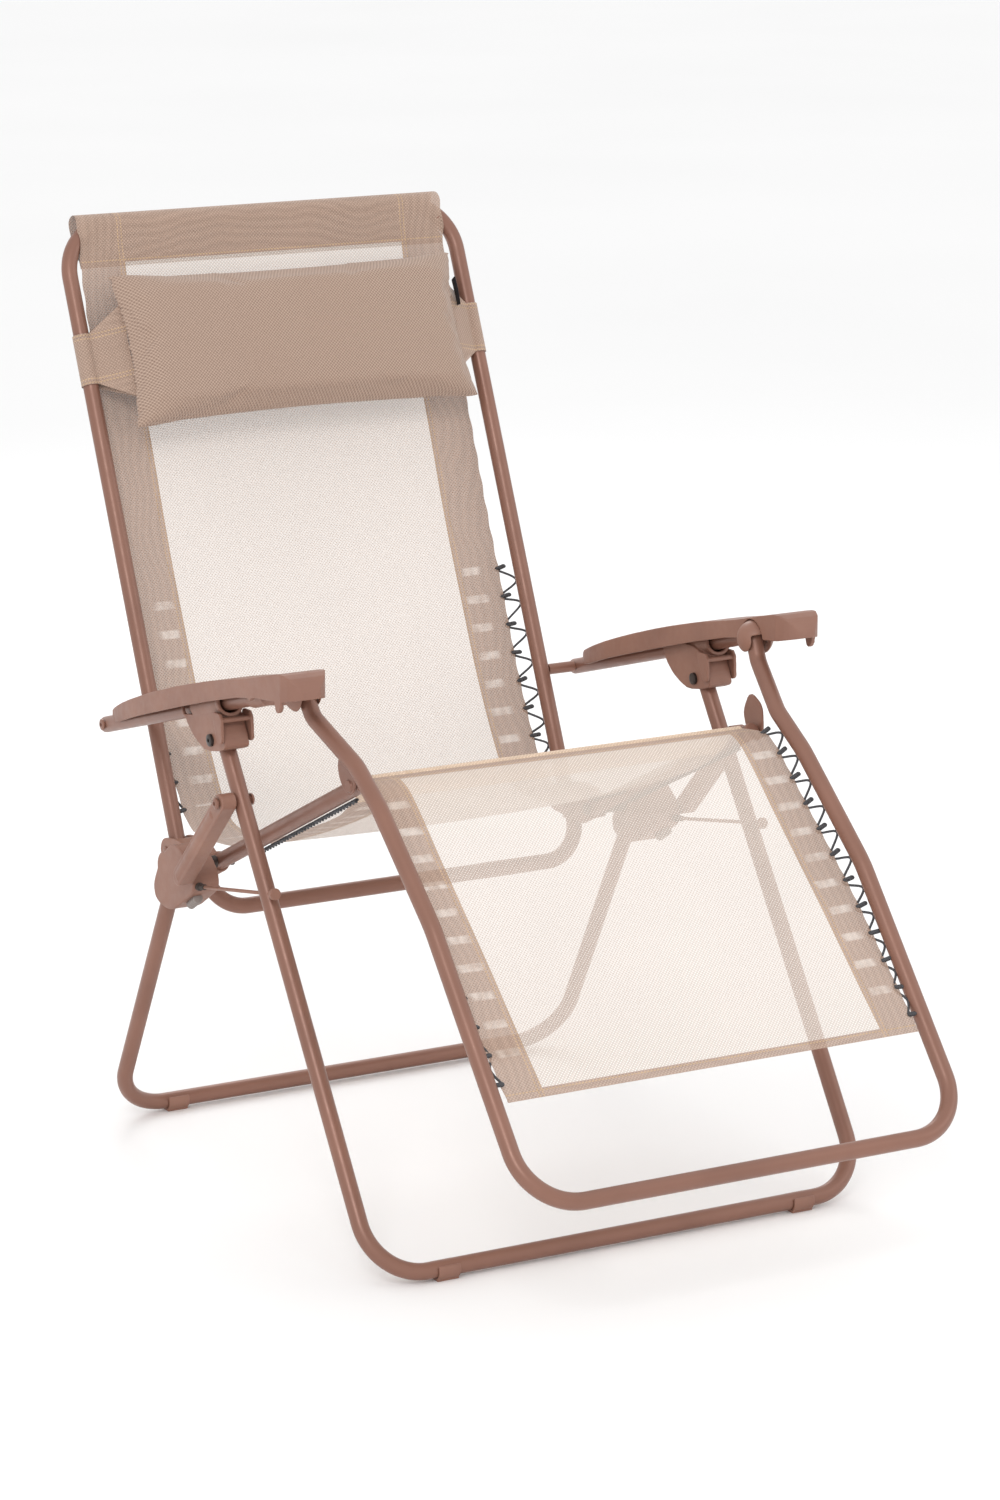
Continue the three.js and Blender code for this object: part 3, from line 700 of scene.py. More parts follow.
HUB_INNER, HUB_OUTER = 306.0, 340.7
SOCKET_DEPTH, SOCKET_RADIUS = 1.6, 2.6
hub_outline = [(553, 346), (549, 331), (535, 324.5), (511, 323), (494, 328), (474, 340), (450, 355),
               (442, 362), (440, 372), (444, 384), (461, 398), (475, 406), (489, 409), (506, 405),
               (523, 391), (540, 370)]
LINK_END = (443.7, 382.3)
CABLE_START, CABLE_HOLE, CABLE_X = (438.5, 368), (258.7, 403), 333.0
CABLE_END = along(CABLE_START, CABLE_HOLE, 197)
link_inner, link_outer = HUB_OUTER + 0.6, LINK_X + 10.7

place_pair("hub", moulded(
    [side_plate(rounded(hub_outline), HUB_INNER, HUB_OUTER),
     cross_rod(HUB_INNER - 10, HUB_INNER + 8, (487, 371), 6),
     cross_rod(HUB_INNER - 1.5, HUB_OUTER, (520, 372), 21),
     rod_in(REAR_LEG_X, along(REAR_TOP, REAR_BAR, -20), along(REAR_TOP, REAR_BAR, 26), 14.5)],
    softness=5), PLASTIC, "rear_stand", hard=0)


def link():
    direction = math.degrees(math.atan2(LINK_END[1] - LEG_PIVOT[1], LINK_END[0] - LEG_PIVOT[0]))
    outline = (arc_points(LEG_PIVOT, 10.7, direction + 90, direction + 270, 20)
               + arc_points(LINK_END, 10.7, direction - 90, direction + 90, 20))
    body = side_plate(outline, link_inner, link_outer - 2)
    crown = rod_in(LINK_X, along(LEG_PIVOT, LINK_END, 26), LINK_END, 10.7)
    return moulded([body, crown], softness=6)


place_pair("rear_link", link(), PLASTIC, "rear_stand", hard=0)


def bolt(steps, yz):
    """A turned bolt with a hexagon socket in its outer head."""
    end = steps[-1][0]
    return cut_from(turned(steps, yz), [cross_rod(end - SOCKET_DEPTH, end + 1.0, yz, SOCKET_RADIUS, 6)])


place_pair("link_pin", bolt([
    (FRONT_LEG_X - 14.2, 5.5), (FRONT_LEG_X - 13, 7), (FRONT_LEG_X - 11, 7), (FRONT_LEG_X - 11, 4),
    (link_outer + 0.3, 4), (link_outer + 0.3, 7), (link_outer + 2.0, 7), (link_outer + 3.3, 5)],
    LEG_PIVOT), STEEL, "front_stand")
place_pair("hub_pin", turned([
    (SEAT_X - 14, 5.5), (SEAT_X - 13, 7), (SEAT_X - 10.5, 7), (SEAT_X - 10.5, 4), (SEAT_X + 10.5, 4),
    (SEAT_X + 10.5, 8), (HUB_INNER - 1.8, 8), (HUB_INNER - 1.8, 4), (HUB_INNER + 3.5, 4)], SEAT_PIVOT),
    BOLT, "rear_stand")
place_pair("knee_pin", turned([
    (SEAT_X - 14, 4.5), (SEAT_X - 13, 6.6), (SEAT_X - 11, 7), (SEAT_X - 11, 4), (SEAT_X + 10, 4)],
    KNEE_PIVOT), BOLT, "seat")
place_pair("knuckle_pin", turned([
    (SEAT_X - 6.5, 5), (SEAT_X - 5.8, 6.6), (SEAT_X - 4.3, 7), (SEAT_X - 4.3, 4), (293.6, 4), (293.6, 7),
    (295, 6.6), (295.8, 5)], BACK_PIVOT), STEEL, "knuckle_pins")
place_pair("bracket_bolt", bolt([
    (311.5, 5), (312.2, 7.2), (315.2, 7.5), (315.2, 4), (347.8, 4), (347.8, 7.5), (350.8, 7.2), (351.5, 5)],
    BRACKET_PIVOT), BOLT, "bracket_bolts")
place_pair("arm_pin", bolt([
    (BACK_X + 10.3, 7), (ARM_X - 10.3, 7), (ARM_X - 10.3, 4), (ARM_X + 10.3, 4), (ARM_X + 10.3, 7),
    (ARM_X + 12, 7), (ARM_X + 13, 5)], ARM_PIVOT), STEEL, "armrests")
place_pair("elbow_pin", turned([(CAVITY_X - 16, 3), (CAVITY_X + 18, 3)], ELBOW_PIVOT), BOLT, "elbow_pins")

# ---------------------------------------------------------------- limit cables

on_cable = lambda distance: at(CABLE_X, along(CABLE_START, CABLE_END, distance))
place_pair("limit_cable", swept([on_cable(-5.5), at(CABLE_X, CABLE_END)], 2.2, 16), CABLE, "rear_stand")
place_pair("cable_stop", moulded(
    [rod(on_cable(197.5), on_cable(207), 5), rod(on_cable(201.5), on_cable(207), 7)],
    voxel=0.6, softness=4, keep_ratio=0.4), PLASTIC, "front_stand", hard=0)
gland = [swept([on_cable(d) for d in run], radius, 24, rounding=0.8)
         for run, radius in (((-3, 3), 5.0), ((3, 9, 15), 3.6))]
place_pair("cable_gland", combined(gland), INNER, "rear_stand", node=False)


def ribbed_clip():
    """The grey clip under the hub's front, round the cable's end."""
    on_clip = lambda distance: along((452, 350), (478, 334), distance)
    piece = lambda a, b, radius: rod_in(HUB_OUTER - 12, on_clip(a), on_clip(b), radius, 24)
    pitch, rib = 5.2, 3.4
    ribs = [piece(pitch * k, pitch * k + rib, 6.2) for k in range(5)]
    return moulded([*ribs, piece(0, 24, 5.2)], voxel=0.6, softness=3, keep_ratio=0.4)


place_pair("hub_clip", ribbed_clip(), CLIP, "rear_stand", node=False, hard=0, slot="inner_plastic")

# ---------------------------------------------------------------- knuckles

def knuckle():
    outline = ([(545, 352), (560, 347), (590, 347)] + arc_points(BACK_PIVOT, 17, -80, 80, 24)
               + [(590, 386), (566, 386), (545, 377)])
    sleeve = lambda a, b, low, high: rod_in(SEAT_X, along(a, b, low), along(a, b, high), 13)
    swing = [(597, 395)] + arc_points(BACK_PIVOT, 17.5, 180, 270, 12) + [(640, 345), (640, 395)]
    return moulded(
        [side_plate(outline, SEAT_X - 4, 293.3),
         sleeve(SEAT_REAR, KNEE_PIVOT, 16, -10),
         sleeve(CROSS_TOP, CROSS_CORNER, -6, 15)],
        [side_plate(swing, BACK_X - 12, BACK_X + 12.2)], voxel=0.9, softness=3)


place_pair("knuckle", knuckle(), PLASTIC, "seat", hard=0)

# ---------------------------------------------------------------- slide brackets and levers

def bracket():
    outline = [(448, 598), (445, 586), (437, 573), (422, 561), (404, 553), (385, 548), (352, 554), (333, 561),
               (337, 574), (346, 588), (350, 598), (380, 606)]
    inner, outer = 315.5, 347.5
    axis = arm_at(400)
    rear, front = along(axis, ARM_PIVOT, 46), along(axis, ARM_PIVOT, -57)
    leg = math.degrees(math.atan2(FRONT_BAR[1] - BRACKET_PIVOT[1], FRONT_BAR[0] - BRACKET_PIVOT[0]))
    folded, half, far = -46, 10.8, 90

    def off(angle, distance, aside):
        (y, z), = on_circle(BRACKET_PIVOT, distance, [angle])
        return on_circle((y, z), aside, [angle + 90])[0]

    swing = [off(leg, far, -half), off((leg + folded) / 2, far, 0), off(folded, far, half),
             off(folded, 0, half), off(leg, 0, -half)]
    cuts = [side_plate(swing, FRONT_LEG_X - half, FRONT_LEG_X + half),
            cross_rod(FRONT_LEG_X - half, FRONT_LEG_X + half, BRACKET_PIVOT, 16),
            rod_in(ARM_X, along(front, rear, -5), along(front, rear, 120), 13.2),
            side_plate([(418, 585), (438, 582), (442, 593), (424, 597)], outer - 1.6, outer + 4)]
    rings = [rod_in(ARM_X, along(front, rear, d), along(front, rear, d + 5), 17.6) for d in (0, 95.5)]
    collar = rod_in(ARM_X, front, rear, 16.5)
    wall = side_plate(rounded(outline, 1), inner, outer)
    return moulded([wall, collar, *rings], cuts, voxel=0.9, softness=3)


place_pair("slide_bracket", bracket(), PLASTIC, "brackets", hard=0)
on_bush = lambda half, radius: rod_in(
    ARM_X, along(arm_at(388), ARM_PIVOT, -half), along(arm_at(388), ARM_PIVOT, half), radius)
place_pair("slide_bush", cut_from(on_bush(12, 12.8), [on_bush(20, 10.4)]), INNER, "slide_bushes")


def lever():
    outline = (arc_points(LEVER_PIVOT, 5, -40, 90, 10) + [(338, 602), (333, 596)]
               + arc_points((338, 573), 6.5, 165, 345, 16))
    paddle = lambda x: side_plate(outline, x - 1.9, x + 1.9)
    return moulded([paddle(ARM_X + 17), paddle(ARM_X - 22), cross_rod(ARM_X - 22, ARM_X + 17, (338, 594), 3)],
                   voxel=0.7, softness=2, keep_ratio=0.5)


place_pair("lock_lever", lever(), PLASTIC, "lever_{}", hard=0)

# ---------------------------------------------------------------- armrests

ELBOW_X = 305.5


def elbow():
    swing = [ELBOW_PIVOT] + arc_points(ELBOW_PIVOT, 70, -16, -204, 24)
    return moulded(
        [ball(ELBOW_X, ELBOW_PIVOT, 22.3),
         rod_in(ARM_X, arm_at(244), arm_at(282), 12.8),
         rod(at(ELBOW_X + 4, ELBOW_PIVOT), at(ARM_X, arm_at(250)), 12.5)],
        [ball(CAVITY_X, ELBOW_PIVOT, 17),
         side_plate(swing, CAVITY_X - 12.5, CAVITY_X + 12.5)], voxel=0.9, softness=5)


place_pair("armrest_elbow", elbow(), PLASTIC, "armrests", hard=0)

PAD_OUTER, PAD_INNER = 360.0, 303.0


def pad_side(t):
    """The pad's side view, with its top and ends moved in by t."""
    return [(667 - 2 * t, 531), (664 - 2 * t, 540 - t), (597, 566 - t), (510, 595 - t), (427, 620 - t),
            (340, 643 - t), (253, 662 - t), (190, 679 - t), (166 + t, 684.5 - t), (151 + t, 679 - t),
            (143 + t, 667), (143 + t, 654 - 3 * t), (254, 641 - 3 * t), (373, 610 - 3 * t),
            (569, 552 - 3 * t), (640, 528 - 3 * t)]


def pad_plan(t):
    """The pad seen from above, moved in by t."""
    outer, inner = PAD_OUTER - t, PAD_INNER + t
    return [(340 - t, 668 - t), (329 + t, 668 - t), (316 + t, 640), (inner + 2, 560), (inner, 480),
            (inner - 3, 300), (inner - 3, 170), (inner + 6, 152 + t), (inner + 18, 142 + t),
            (outer - 18, 142 + t), (outer - 6, 152 + t), (outer, 170), (outer, 480), (outer - 3, 560),
            (outer - 9, 620)]


def pad():
    """A thin shell open below, with a raised rim round its top and two lugs under the hood."""
    wall, groove, rim = 3.2, 2.2, 6.5
    x0, x1 = PAD_INNER - 8, PAD_OUTER + 5

    def block(side, plan, cuts=(), low=500, high=720):
        return cut_from(side_plate(side, x0, x1), cuts, plan_plate(plan, low, high))

    whole = block(rounded(pad_side(0), 1), rounded(pad_plan(0), 1))
    hollow = block(pad_side(wall), pad_plan(wall))
    below_groove = block(pad_side(groove), pad_plan(-4), low=480, high=740)
    panel = block(pad_side(-6), rounded(pad_plan(rim), 2), [below_groove], high=740)
    panel = cut_from(panel, [side_plate([(60, 500), (186, 500), (186, 760), (60, 760)], x0, x1)])
    clear = [hollow,
             rod_in(ARM_X, arm_at(715), arm_at(262), TUBE + 0.3),
             side_plate([(150, 600), (640, 480), (640, 521), (150, 664)], ARM_X - 10.3, ARM_X + 10.3),
             cross_rod(PAD_INNER - 20, PAD_INNER + 22, ELBOW_PIVOT, 23, 48)]
    shell = cut_from(cut_from(whole, [panel]), clear)
    lug = lambda y: [(y, 662), (y, 645), (y + 5, 638), (y + 11, 638), (y + 15, 646), (y + 15, 662)]
    lugs = [side_plate(rounded(lug(y), 1), PAD_OUTER - 6, PAD_OUTER - 1) for y in (166, 238)]
    return moulded([shell, *lugs], softness=3, keep_ratio=0.4)


place_pair("armrest_pad", pad(), PLASTIC, "armrests", hard=0)
place_pair("tube_plug", swept([at(ARM_X, arm_at(694.6)), at(ARM_X, arm_at(696.2))], 9.4, 32, rounding=0.7),
           PLASTIC, "armrests", node=False)
place_pair("elbow_screw", bolt([(ELBOW_X + 20, 4.5), (ELBOW_X + 22.6, 4.5), (ELBOW_X + 23.2, 3.4)],
                               ELBOW_PIVOT), BOLT, "armrests", node=False)

# ---------------------------------------------------------------- sling

def spline(points, step=6.0):
    """A smooth line through points, with samples a step apart, and the distance along it."""
    p = np.array(points, float)
    padded = np.vstack([2 * p[0] - p[1], p, 2 * p[-1] - p[-2]])
    out = []
    for i in range(1, len(padded) - 2):
        a, b, c, d = padded[i - 1:i + 3]
        t = np.linspace(0, 1, 24, endpoint=False)[:, None]
        out.append(0.5 * (2 * b + (c - a) * t + (2 * a - 5 * b + 4 * c - d) * t ** 2
                          + (3 * b - a - 3 * c + d) * t ** 3))
    out = np.vstack(out + [p[-1:]])
    run = np.concatenate([[0], np.cumsum(np.linalg.norm(np.diff(out, axis=0), axis=1))])
    n = max(4, int(run[-1] / step))
    even = np.linspace(0, run[-1], n + 1)
    line = np.stack([np.interp(even, run, out[:, k]) for k in range(out.shape[1])], 1)
    return line, even


def normals_of(line):
    t = np.gradient(line, axis=0)
    t /= np.linalg.norm(t, axis=1)[:, None]
    return np.stack([-t[:, 1], t[:, 0]], 1)


def set_uvs(obj, uvs):
    layer = obj.data.uv_layers.new(name="UVMap")
    loops = np.zeros(len(obj.data.loops), np.int32)
    obj.data.loops.foreach_get("vertex_index", loops)
    layer.data.foreach_set("uv", np.array(uvs)[loops].ravel())


def grid_faces(rows, columns):
    """The faces of a sheet of rows by columns vertices."""
    return [(i * columns + j, i * columns + j + 1, (i + 1) * columns + j + 1, (i + 1) * columns + j)
            for i in range(rows - 1) for j in range(columns - 1)]


def cloth(name, line, run, half, sag, push=None):
    """A sheet that follows a side view line. half and sag are functions of the distance along it."""
    columns, scallop = 57, 1.4
    verts, uvs = [], []
    for point, normal, d in zip(line, normals_of(line), run):
        edge = half(d) - scallop * (1 - math.cos(2 * math.pi * d / (TAB_PITCH * 1000))) * 0.5
        for t in np.linspace(-1, 1, columns):
            verts.append(at(edge * t, point + normal * sag(d) * (1 - t * t)))
            uvs.append((edge * t * MM, d * MM))
    verts = np.array(verts)
    obj = new_object(name, row(push(verts) if push else verts), grid_faces(len(line), columns))
    set_uvs(obj, uvs)
    return obj


def place_sling(node, obj, material, body, blend_end=None):
    """A stretched sheet, put on its body. With a blend_end it is left unparented in the row frame instead, on
    no body.
    """
    obj.data.materials.append(material)
    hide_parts(node)
    if blend_end:
        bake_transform(obj)
    else:
        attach(obj, body)


TUBE_AXIS = unit(np.array([0, BACK_BAR[0] - BACK_PIVOT[0], BACK_BAR[1] - BACK_PIVOT[1]]))
TUBE_OUT = np.array([0, TUBE_AXIS[2], -TUBE_AXIS[1]])
BAR_WRAP = 12.2
crease = [(615, 386), (633, 393), (650, 411)]
SLEEVE_SEAM = (911.5, 1050)
back_points = [*crease, (676, 452), (712, 520), (751, 610), (790, 700), (829, 800), (868, 900), (900, 1005),
               SLEEVE_SEAM, (917.5, 1075), *on_circle(BACK_BAR, BAR_WRAP, (178, 150, 120, 90, 60, 30, 2)),
               (941.5, 1084), (930, 1067), (919, 1056), (912, 1046)]
back_line, back_run = spline(back_points, 5.0)
SLEEVE_LENGTH = back_run[-1] - back_run[np.argmin(np.linalg.norm(back_line - SLEEVE_SEAM, axis=1))]


def ease(t):
    t = min(max(t, 0.0), 1.0)
    return t * t * (3 - 2 * t)


def back_half(d):
    return 256 + 3 * ease(d / 320)


def back_sag(d):
    return -9 * math.sin(math.pi * min(d / 690, 1)) ** 2 if d < 690 else 0.0


def clear_of_bar(verts):
    """Keeps the sleeve's ends off the bar where it bends down."""
    reach = TUBE + 1.3
    route = u_route(BACK_X, BACK_FOOT, BACK_BAR, step=3.0)
    dense = np.vstack([np.linspace(a, b, 12, endpoint=False) for a, b in zip(route[:-1], route[1:])])
    for k, v in enumerate(verts):
        if v[2] < 1000:
            continue
        delta = v - dense[np.argmin(np.linalg.norm(dense - v, axis=1))]
        if np.linalg.norm(delta) < reach:
            side = delta @ TUBE_OUT
            flat = delta - TUBE_OUT * side
            need = math.sqrt(max(reach ** 2 - flat @ flat, 0))
            verts[k] = v + TUBE_OUT * ((need if side >= 0 else -need) - side)
    return verts


CREASE, ON_BACK, ON_SEAT = (615, 386), (672, 446), (560, 384)
place_sling("back_sling",
            cloth("back_sling.look", back_line, back_run, back_half, back_sag, push=clear_of_bar),
            woven("back_mesh", 0.197, back_run[-1] * MM, 0.0, SLEEVE_LENGTH * MM, tabs=(0.04, 0.33)),
            "back", ON_BACK)

KNEE_RADIUS = 9.5
seat_points = [(615, 386), (590, 383.5), (556, 384), (513, 389), (470, 401), (424, 417), (330, 452),
               (247, 486), (207, 511), (184, 531), (172, 545),
               *on_circle(KNEE_PIVOT, KNEE_RADIUS, (55, 80, 105, 130, 150))]
seat_line, seat_run = spline(seat_points, 5.0)


def seat_half(d):
    return 256 - 8 * ease((d - 20) / 70) + 2 * ease((d - 380) / 90)


def seat_sag(d):
    return 8 * math.sin(math.pi * min(d / 470, 1)) ** 2 if d < 470 else 0.0


place_sling("seat_sling",
            cloth("seat_sling.look", seat_line, seat_run, seat_half, seat_sag),
            woven("seat_mesh", 0.197, seat_run[-1] * MM, 0.0, 0.075, tabs=(0.04, 0.44), crest=1.0),
            "seat", ON_SEAT)

legrest_points = [*on_circle(KNEE_PIVOT, KNEE_RADIUS - 1.6, (25, 60, 95, 118)),
                  (146, 553.5), (128, 551), (108, 541), (76, 515), (40, 483), (-18, 433), (-78, 380),
                  (-140, 322), (-199, 268)]
legrest_line, legrest_run = spline(legrest_points, 5.0)


def legrest_half(d):
    return 250 + 18 * ease((d - 4) / 45) + 3 * ease((d - 50) / 250)


def legrest_sag(d):
    return 8 * math.sin(math.pi * min(max((d - 10) / (legrest_run[-1] - 10), 0), 1))


place_sling("legrest_sling",
            cloth("legrest_sling.look", legrest_line, legrest_run, legrest_half, legrest_sag),
            woven("legrest_mesh", 0.222, legrest_run[-1] * MM, 0.030, 0.012,
                  tabs=(0.06, legrest_run[-1] * MM - 0.03)),
            "legrest")

# ---------------------------------------------------------------- lacing

LACE_RADIUS = 1.5


def edge_points(line, run, half, start, end):
    """Points on a sling's edge, half a pitch apart, each with its number."""
    step = TAB_PITCH * 500
    return [(half(k * step), np.interp(k * step, run, line[:, 0]), np.interp(k * step, run, line[:, 1]), k)
            for k in range(math.ceil(start / step), math.floor(end / step) + 1)]


def nearest_on(route, p):
    route = np.array(route, float)
    dense = np.vstack([np.linspace(a, b, 60, endpoint=False) for a, b in zip(route[:-1], route[1:])])
    return dense[np.argmin(np.linalg.norm(dense - np.array(p), axis=1))]


def lacing(edge, tube_route, hook):
    """Elastic cord that goes to and fro between the hem and the tube, with a flat loop at each hem eyelet."""
    route, loops = [], []
    for x, y, z, k in edge:
        p = np.array([x, y, z])
        near = nearest_on(tube_route, p)
        toward = unit(near - p)
        if k % 2 == 0:
            route.append(p - toward * 5 + hook * 1.5)
            loops.append((p - toward * 3, toward))
        else:
            route.append(near - toward * (TUBE + 0.3))
    parts = [swept(spline(route, 3.0)[0], LACE_RADIUS, 8, rounding=0.4)]
    for centre, toward in loops:
        parts.append(swept([centre + toward * d for d in (-2, 3, 8, 12)], 4.6, 10, squash=0.6))
    return combined(parts)


tube_line = lambda a, b, x: [at(x, a), at(x, b)]
back_edge = edge_points(back_line, back_run, back_half, 30, 300)
BEHIND, BELOW = np.array([0, 1.0, 0]), np.array([0, 0, -1.0])
back_tube = tube_line(BACK_FOOT, BACK_BAR, BACK_X)
place_pair("back_lacing", lacing(back_edge, back_tube, BEHIND), CORD, "back", hard=0)


def braid(start, end):
    """Two strands of elastic twisted round each other under the seat tube."""
    step, twist, radius = 2.5, 17, 1.7
    strands = []
    down = np.array(along((0, 0), (SEAT_REAR[1] - KNEE_PIVOT[1], KNEE_PIVOT[0] - SEAT_REAR[0]), 1.0))
    for phase in (0, math.pi):
        points = []
        for d in np.arange(start, end, step):
            turn = 2 * math.pi * d / twist + phase
            yz = np.array(along(SEAT_REAR, KNEE_PIVOT, d)) + down * (TUBE + 3.4 + 1.3 * math.cos(turn))
            points.append(at(SEAT_X - 4 + 1.6 * math.sin(turn), yz))
        strands.append(swept(points, radius, 8, rounding=0.5))
    return strands


seat_edge = edge_points(seat_line, seat_run, seat_half, 90, 200)
seat_lace = lacing(seat_edge, tube_line(SEAT_REAR, SEAT_FRONT, SEAT_X), BELOW)
place_pair("seat_lacing", combined([seat_lace, *braid(120, 405)]), CORD, "seat", node=False, hard=0)
legrest_edge = edge_points(legrest_line, legrest_run, legrest_half, 30, legrest_run[-1] - 12)
place_pair("legrest_lacing", lacing(legrest_edge, LEG_ROUTE, BELOW), CORD, "legrest", hard=0)

# ---------------------------------------------------------------- head pillow

PILLOW_HALF_WIDTH, PILLOW_HALF_HEIGHT, PILLOW_HALF_THICKNESS = 251.0, 108.0, 24.0
PILLOW_SWELL = 0.012
pillow_middle = (pillow_top + pillow_bottom) / 2 + [-24, 10]
pillow_up = np.array([0, math.sin(PILLOW_TILT), math.cos(PILLOW_TILT)])
pillow_out = np.array([0, -math.cos(PILLOW_TILT), math.sin(PILLOW_TILT)])


def pillow_point(u, v, depth):
    return np.array([u, *pillow_middle]) + pillow_up * v + pillow_out * depth


def pillow_outline(n=160):
    """The pillow's seam line: nearly straight sides that pull in between pointed corners."""
    points = []
    for k in range(n):
        a = 2 * math.pi * k / n
        c, s = math.cos(a), math.sin(a)
        reach = 1 / max(abs(c), abs(s))
        u, v = c * reach, s * reach
        pull = 1 - 0.022 * (1 - (u * v) ** 2)
        corner = 1 - 0.018 * (abs(u * v)) ** 6
        points.append((u * PILLOW_HALF_WIDTH * pull * corner,
                       v * PILLOW_HALF_HEIGHT * (pull - 0.02 * (1 - u * u)) * corner))
    return points


def pillow():
    """A cushion blown up by a short cloth simulation."""
    outline = pillow_outline()
    rings, verts, faces = 14, [], []
    n = len(outline)
    for side in (1, -1):
        base = len(verts)
        last = base + (rings - 1) * n
        for r in range(rings):
            share = 1 - r / rings
            thick = PILLOW_HALF_THICKNESS * (1 - share ** 5.0) ** 0.55
            verts += [pillow_point(u * share, v * share, side * thick) for u, v in outline]
        verts.append(pillow_point(0, 0, side * PILLOW_HALF_THICKNESS))
        quads = [(r + k, r + (k + 1) % n, r + n + (k + 1) % n, r + n + k)
                 for r in range(base, last, n) for k in range(n)]
        middle = [(last + k, last + (k + 1) % n, last + n) for k in range(n)]
        faces += [face[::side] for face in quads + middle]
    obj = new_object("head_pillow.look", row(verts), faces)
    with editing(obj) as bm:
        bmesh.ops.remove_doubles(bm, verts=bm.verts, dist=0.00005)
        bmesh.ops.recalc_face_normals(bm, faces=bm.faces)
    remesh = obj.modifiers.new("even", "REMESH")
    remesh.mode = "VOXEL"
    remesh.voxel_size = 0.005
    evaluated(obj)
    inflate(obj, PILLOW_SWELL)
    smooth = obj.modifiers.new("round", "SUBSURF")
    smooth.levels = 1
    evaluated(obj)
    obj.data.shade_smooth()
    return obj


def inflate(obj, cap):
    """Blows a closed mesh up as cloth. No point moves further than cap, in metres."""
    frames = 20
    rest = np.array([v.co for v in obj.data.vertices])
    modifier = obj.modifiers.new("cloth", "CLOTH")
    settings = modifier.settings
    settings.use_pressure = True
    settings.uniform_pressure_force = 4
    settings.effector_weights.gravity = 0
    settings.quality = 5
    modifier.point_cache.frame_start = 1
    modifier.point_cache.frame_end = frames
    scene = bpy.context.scene
    for f in range(1, frames + 1):
        scene.frame_set(f)
    evaluated(obj)
    scene.frame_set(1)
    delta = np.array([v.co for v in obj.data.vertices]) - rest
    scale = np.minimum(1, cap / np.maximum(np.linalg.norm(delta, axis=1), 1e-9))
    obj.data.vertices.foreach_set("co", (rest + delta * scale[:, None]).ravel())
    obj.data.update()


pillow_object = pillow()
finish_piece(pillow_object, pillow_cloth(), "back", "head_pillow", slot="pillow_fabric")

tree = BVHTree.FromObject(pillow_object, bpy.context.evaluated_depsgraph_get())
SEAM_LIFT, SEAM_RADIUS = 0.0006, 1.5
seam = []
for u, v in pillow_outline(200):
    hit, normal, _, _ = tree.find_nearest(row_point(*pillow_point(u, v, 0)))
    seam.append((hit + normal * SEAM_LIFT) / MM)
seam_verts, seam_faces = swept(seam, SEAM_RADIUS, 8, closed=True)
seam_object = new_object("pillow_piping", seam_verts * MM, seam_faces)
finish_piece(seam_object, PIPING, "back", slot="pillow_fabric")

# ---------------------------------------------------------------- pillow straps

STRAP_LOW, STRAP_HIGH = 592.0, 657.0
STRAP_COLUMNS = 15


def strap():
    """A flat band sewn to the pillow's end that goes round the back tube and returns.
    Gives the vertices, the UVs, the number of rows and the length round."""
    blend = lambda a, b, ts: [tuple(np.array(a) * (1 - t) + np.array(b) * t) for t in ts]
    # Each place is inward of the tube's centre, out from it, and its share of the way to the pillow.
    loop = [(x, n, 0.0) for x, n in on_circle((0, 0), 11.6, np.linspace(-128, 128, 29))]
    start, end = (-48.0, -31.0, 1.0), (-48.0, -29.4, 1.0)
    route = (blend(start, loop[0], np.linspace(0, 1, 12, endpoint=False)) + loop
             + blend(loop[-1], end, np.linspace(0, 1, 13)[1:]))
    centre = np.array([BACK_X, *BACK_PIVOT])
    verts, uvs, run = [], [], 0.0
    for i, (dx, dn, share) in enumerate(route):
        low, high = STRAP_LOW - 26 * share, STRAP_HIGH + 30 * share
        if i:
            run += math.hypot(dx - route[i - 1][0], dn - route[i - 1][1])
        for t in np.linspace(0, 1, STRAP_COLUMNS):
            wave = 1.2 * math.sin(7 * t + dx * 0.05) * share
            verts.append(centre + TUBE_AXIS * (low + (high - low) * t) + [dx, 0, 0] + TUBE_OUT * (dn + wave))
            uvs.append(((t - 0.5) * (high - low) * MM, run * MM))
    return np.array(verts), uvs, len(route), run


strap_verts, strap_uvs, strap_rows, strap_run = strap()
strap_part = strap_verts, grid_faces(strap_rows, STRAP_COLUMNS)
STRAP_CLOTH = woven("strap_mesh", 0.024, strap_run * MM, 0.0, 0.0, layers=2)
for side, (verts, faces) in (("l", strap_part), ("r", mirrored(*strap_part))):
    obj = new_object(f"pillow_strap_{side}.look", row(verts), faces)
    set_uvs(obj, strap_uvs)
    finish_piece(obj, STRAP_CLOTH, "back", f"pillow_strap_{side}", slot="webbing")

# The small plain tab on the sitter's left strap.
tab_low = np.array([BACK_X - 27, *BACK_PIVOT]) + TUBE_AXIS * 652 - TUBE_OUT * 24
tab_shape = [tab_low + TUBE_AXIS * 36 * t - TUBE_OUT * (1.2 * math.sin(math.pi * t))
             for t in np.linspace(0, 1, 9)]
place_part("label_tab", swept(tab_shape, 7.5, 16, squash=0.12, rounding=0.6), TAG, "back", slot="webbing")

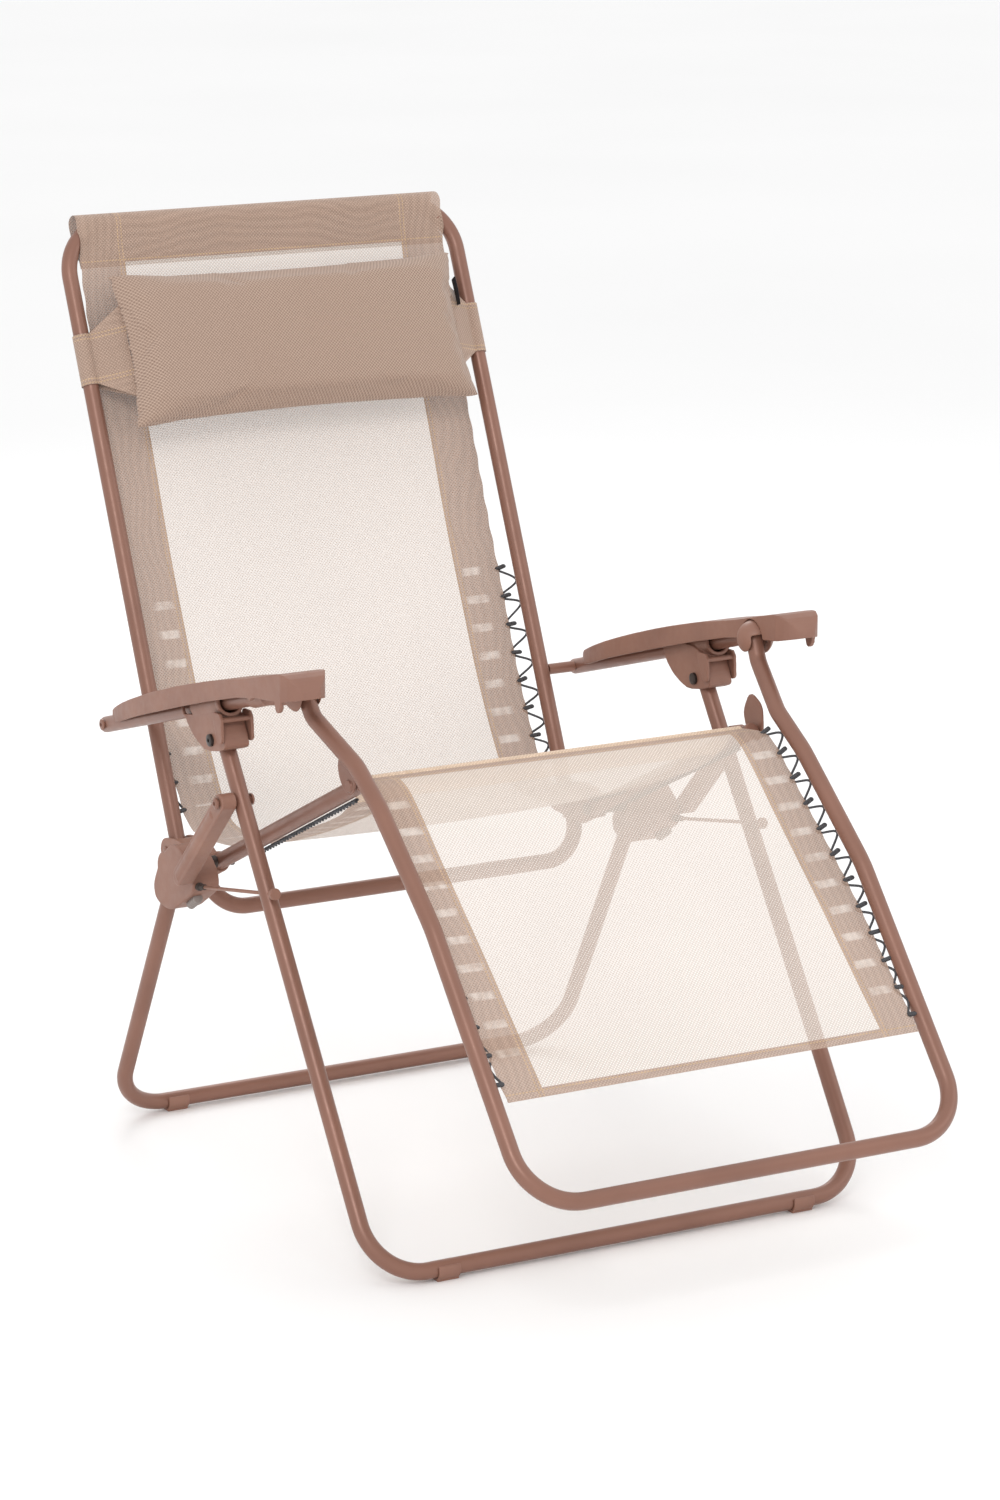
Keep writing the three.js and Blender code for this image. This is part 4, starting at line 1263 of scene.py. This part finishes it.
# ---------------------------------------------------------------- floor, light and camera

def floor():
    n = Nodes("floor_paint")
    n.set(Base_Color=n.mix(n.noise(0.6, 2), srgb(246, 246, 246), srgb(252, 252, 252)), Roughness=0.9)
    bm = bmesh.new()
    bmesh.ops.create_grid(bm, x_segments=24, y_segments=24, size=60)
    mesh = bpy.data.meshes.new("floor")
    bm.to_mesh(mesh)
    bm.free()
    obj = bpy.data.objects.new("floor", mesh)
    bpy.context.scene.collection.objects.link(obj)
    obj.data.materials.append(n.material)


def area_light(name, position, target, size, power):
    data = bpy.data.lights.new(name, "AREA")
    data.shape = "DISK"
    data.size = size
    data.energy = power
    obj = bpy.data.objects.new(name, data)
    obj.location = position
    obj.rotation_euler = (Vector(target) - Vector(position)).to_track_quat("-Z", "Y").to_euler()
    bpy.context.scene.collection.objects.link(obj)


floor()
area_light("key", (-2.6, -3.2, 3.4), (0, 0, 0.6), 1.6, 62)
area_light("fill", (3.4, -2.4, 2.2), (0, 0, 0.6), 2.4, 14)
area_light("rim", (1.0, 3.4, 3.0), (0, 0, 0.7), 2.0, 34)
world = bpy.data.worlds.new("studio")
world.use_nodes = True
world.node_tree.nodes["Background"].inputs["Color"].default_value = (1, 1, 1, 1)
world.node_tree.nodes["Background"].inputs["Strength"].default_value = 1.0
bpy.context.scene.world = world
bpy.context.scene.view_settings.view_transform = "Standard"

AZIMUTH, ELEVATION = -0.511638673, 0.239057698
camera_data = bpy.data.cameras.new("camera")
camera_data.lens = 112.27
camera_data.sensor_width = 36
camera_data.sensor_fit = "AUTO"
camera = bpy.data.objects.new("camera", camera_data)
camera.location = (-2.65670522, -4.76150961, 1.85120752)
backward = Vector((math.sin(AZIMUTH) * math.cos(ELEVATION), -math.cos(AZIMUTH) * math.cos(ELEVATION),
                   math.sin(ELEVATION)))
camera.rotation_euler = (-backward).to_track_quat("-Z", "Y").to_euler()
camera_data.clip_end = 200
bpy.context.scene.collection.objects.link(camera)
bpy.context.scene.camera = camera

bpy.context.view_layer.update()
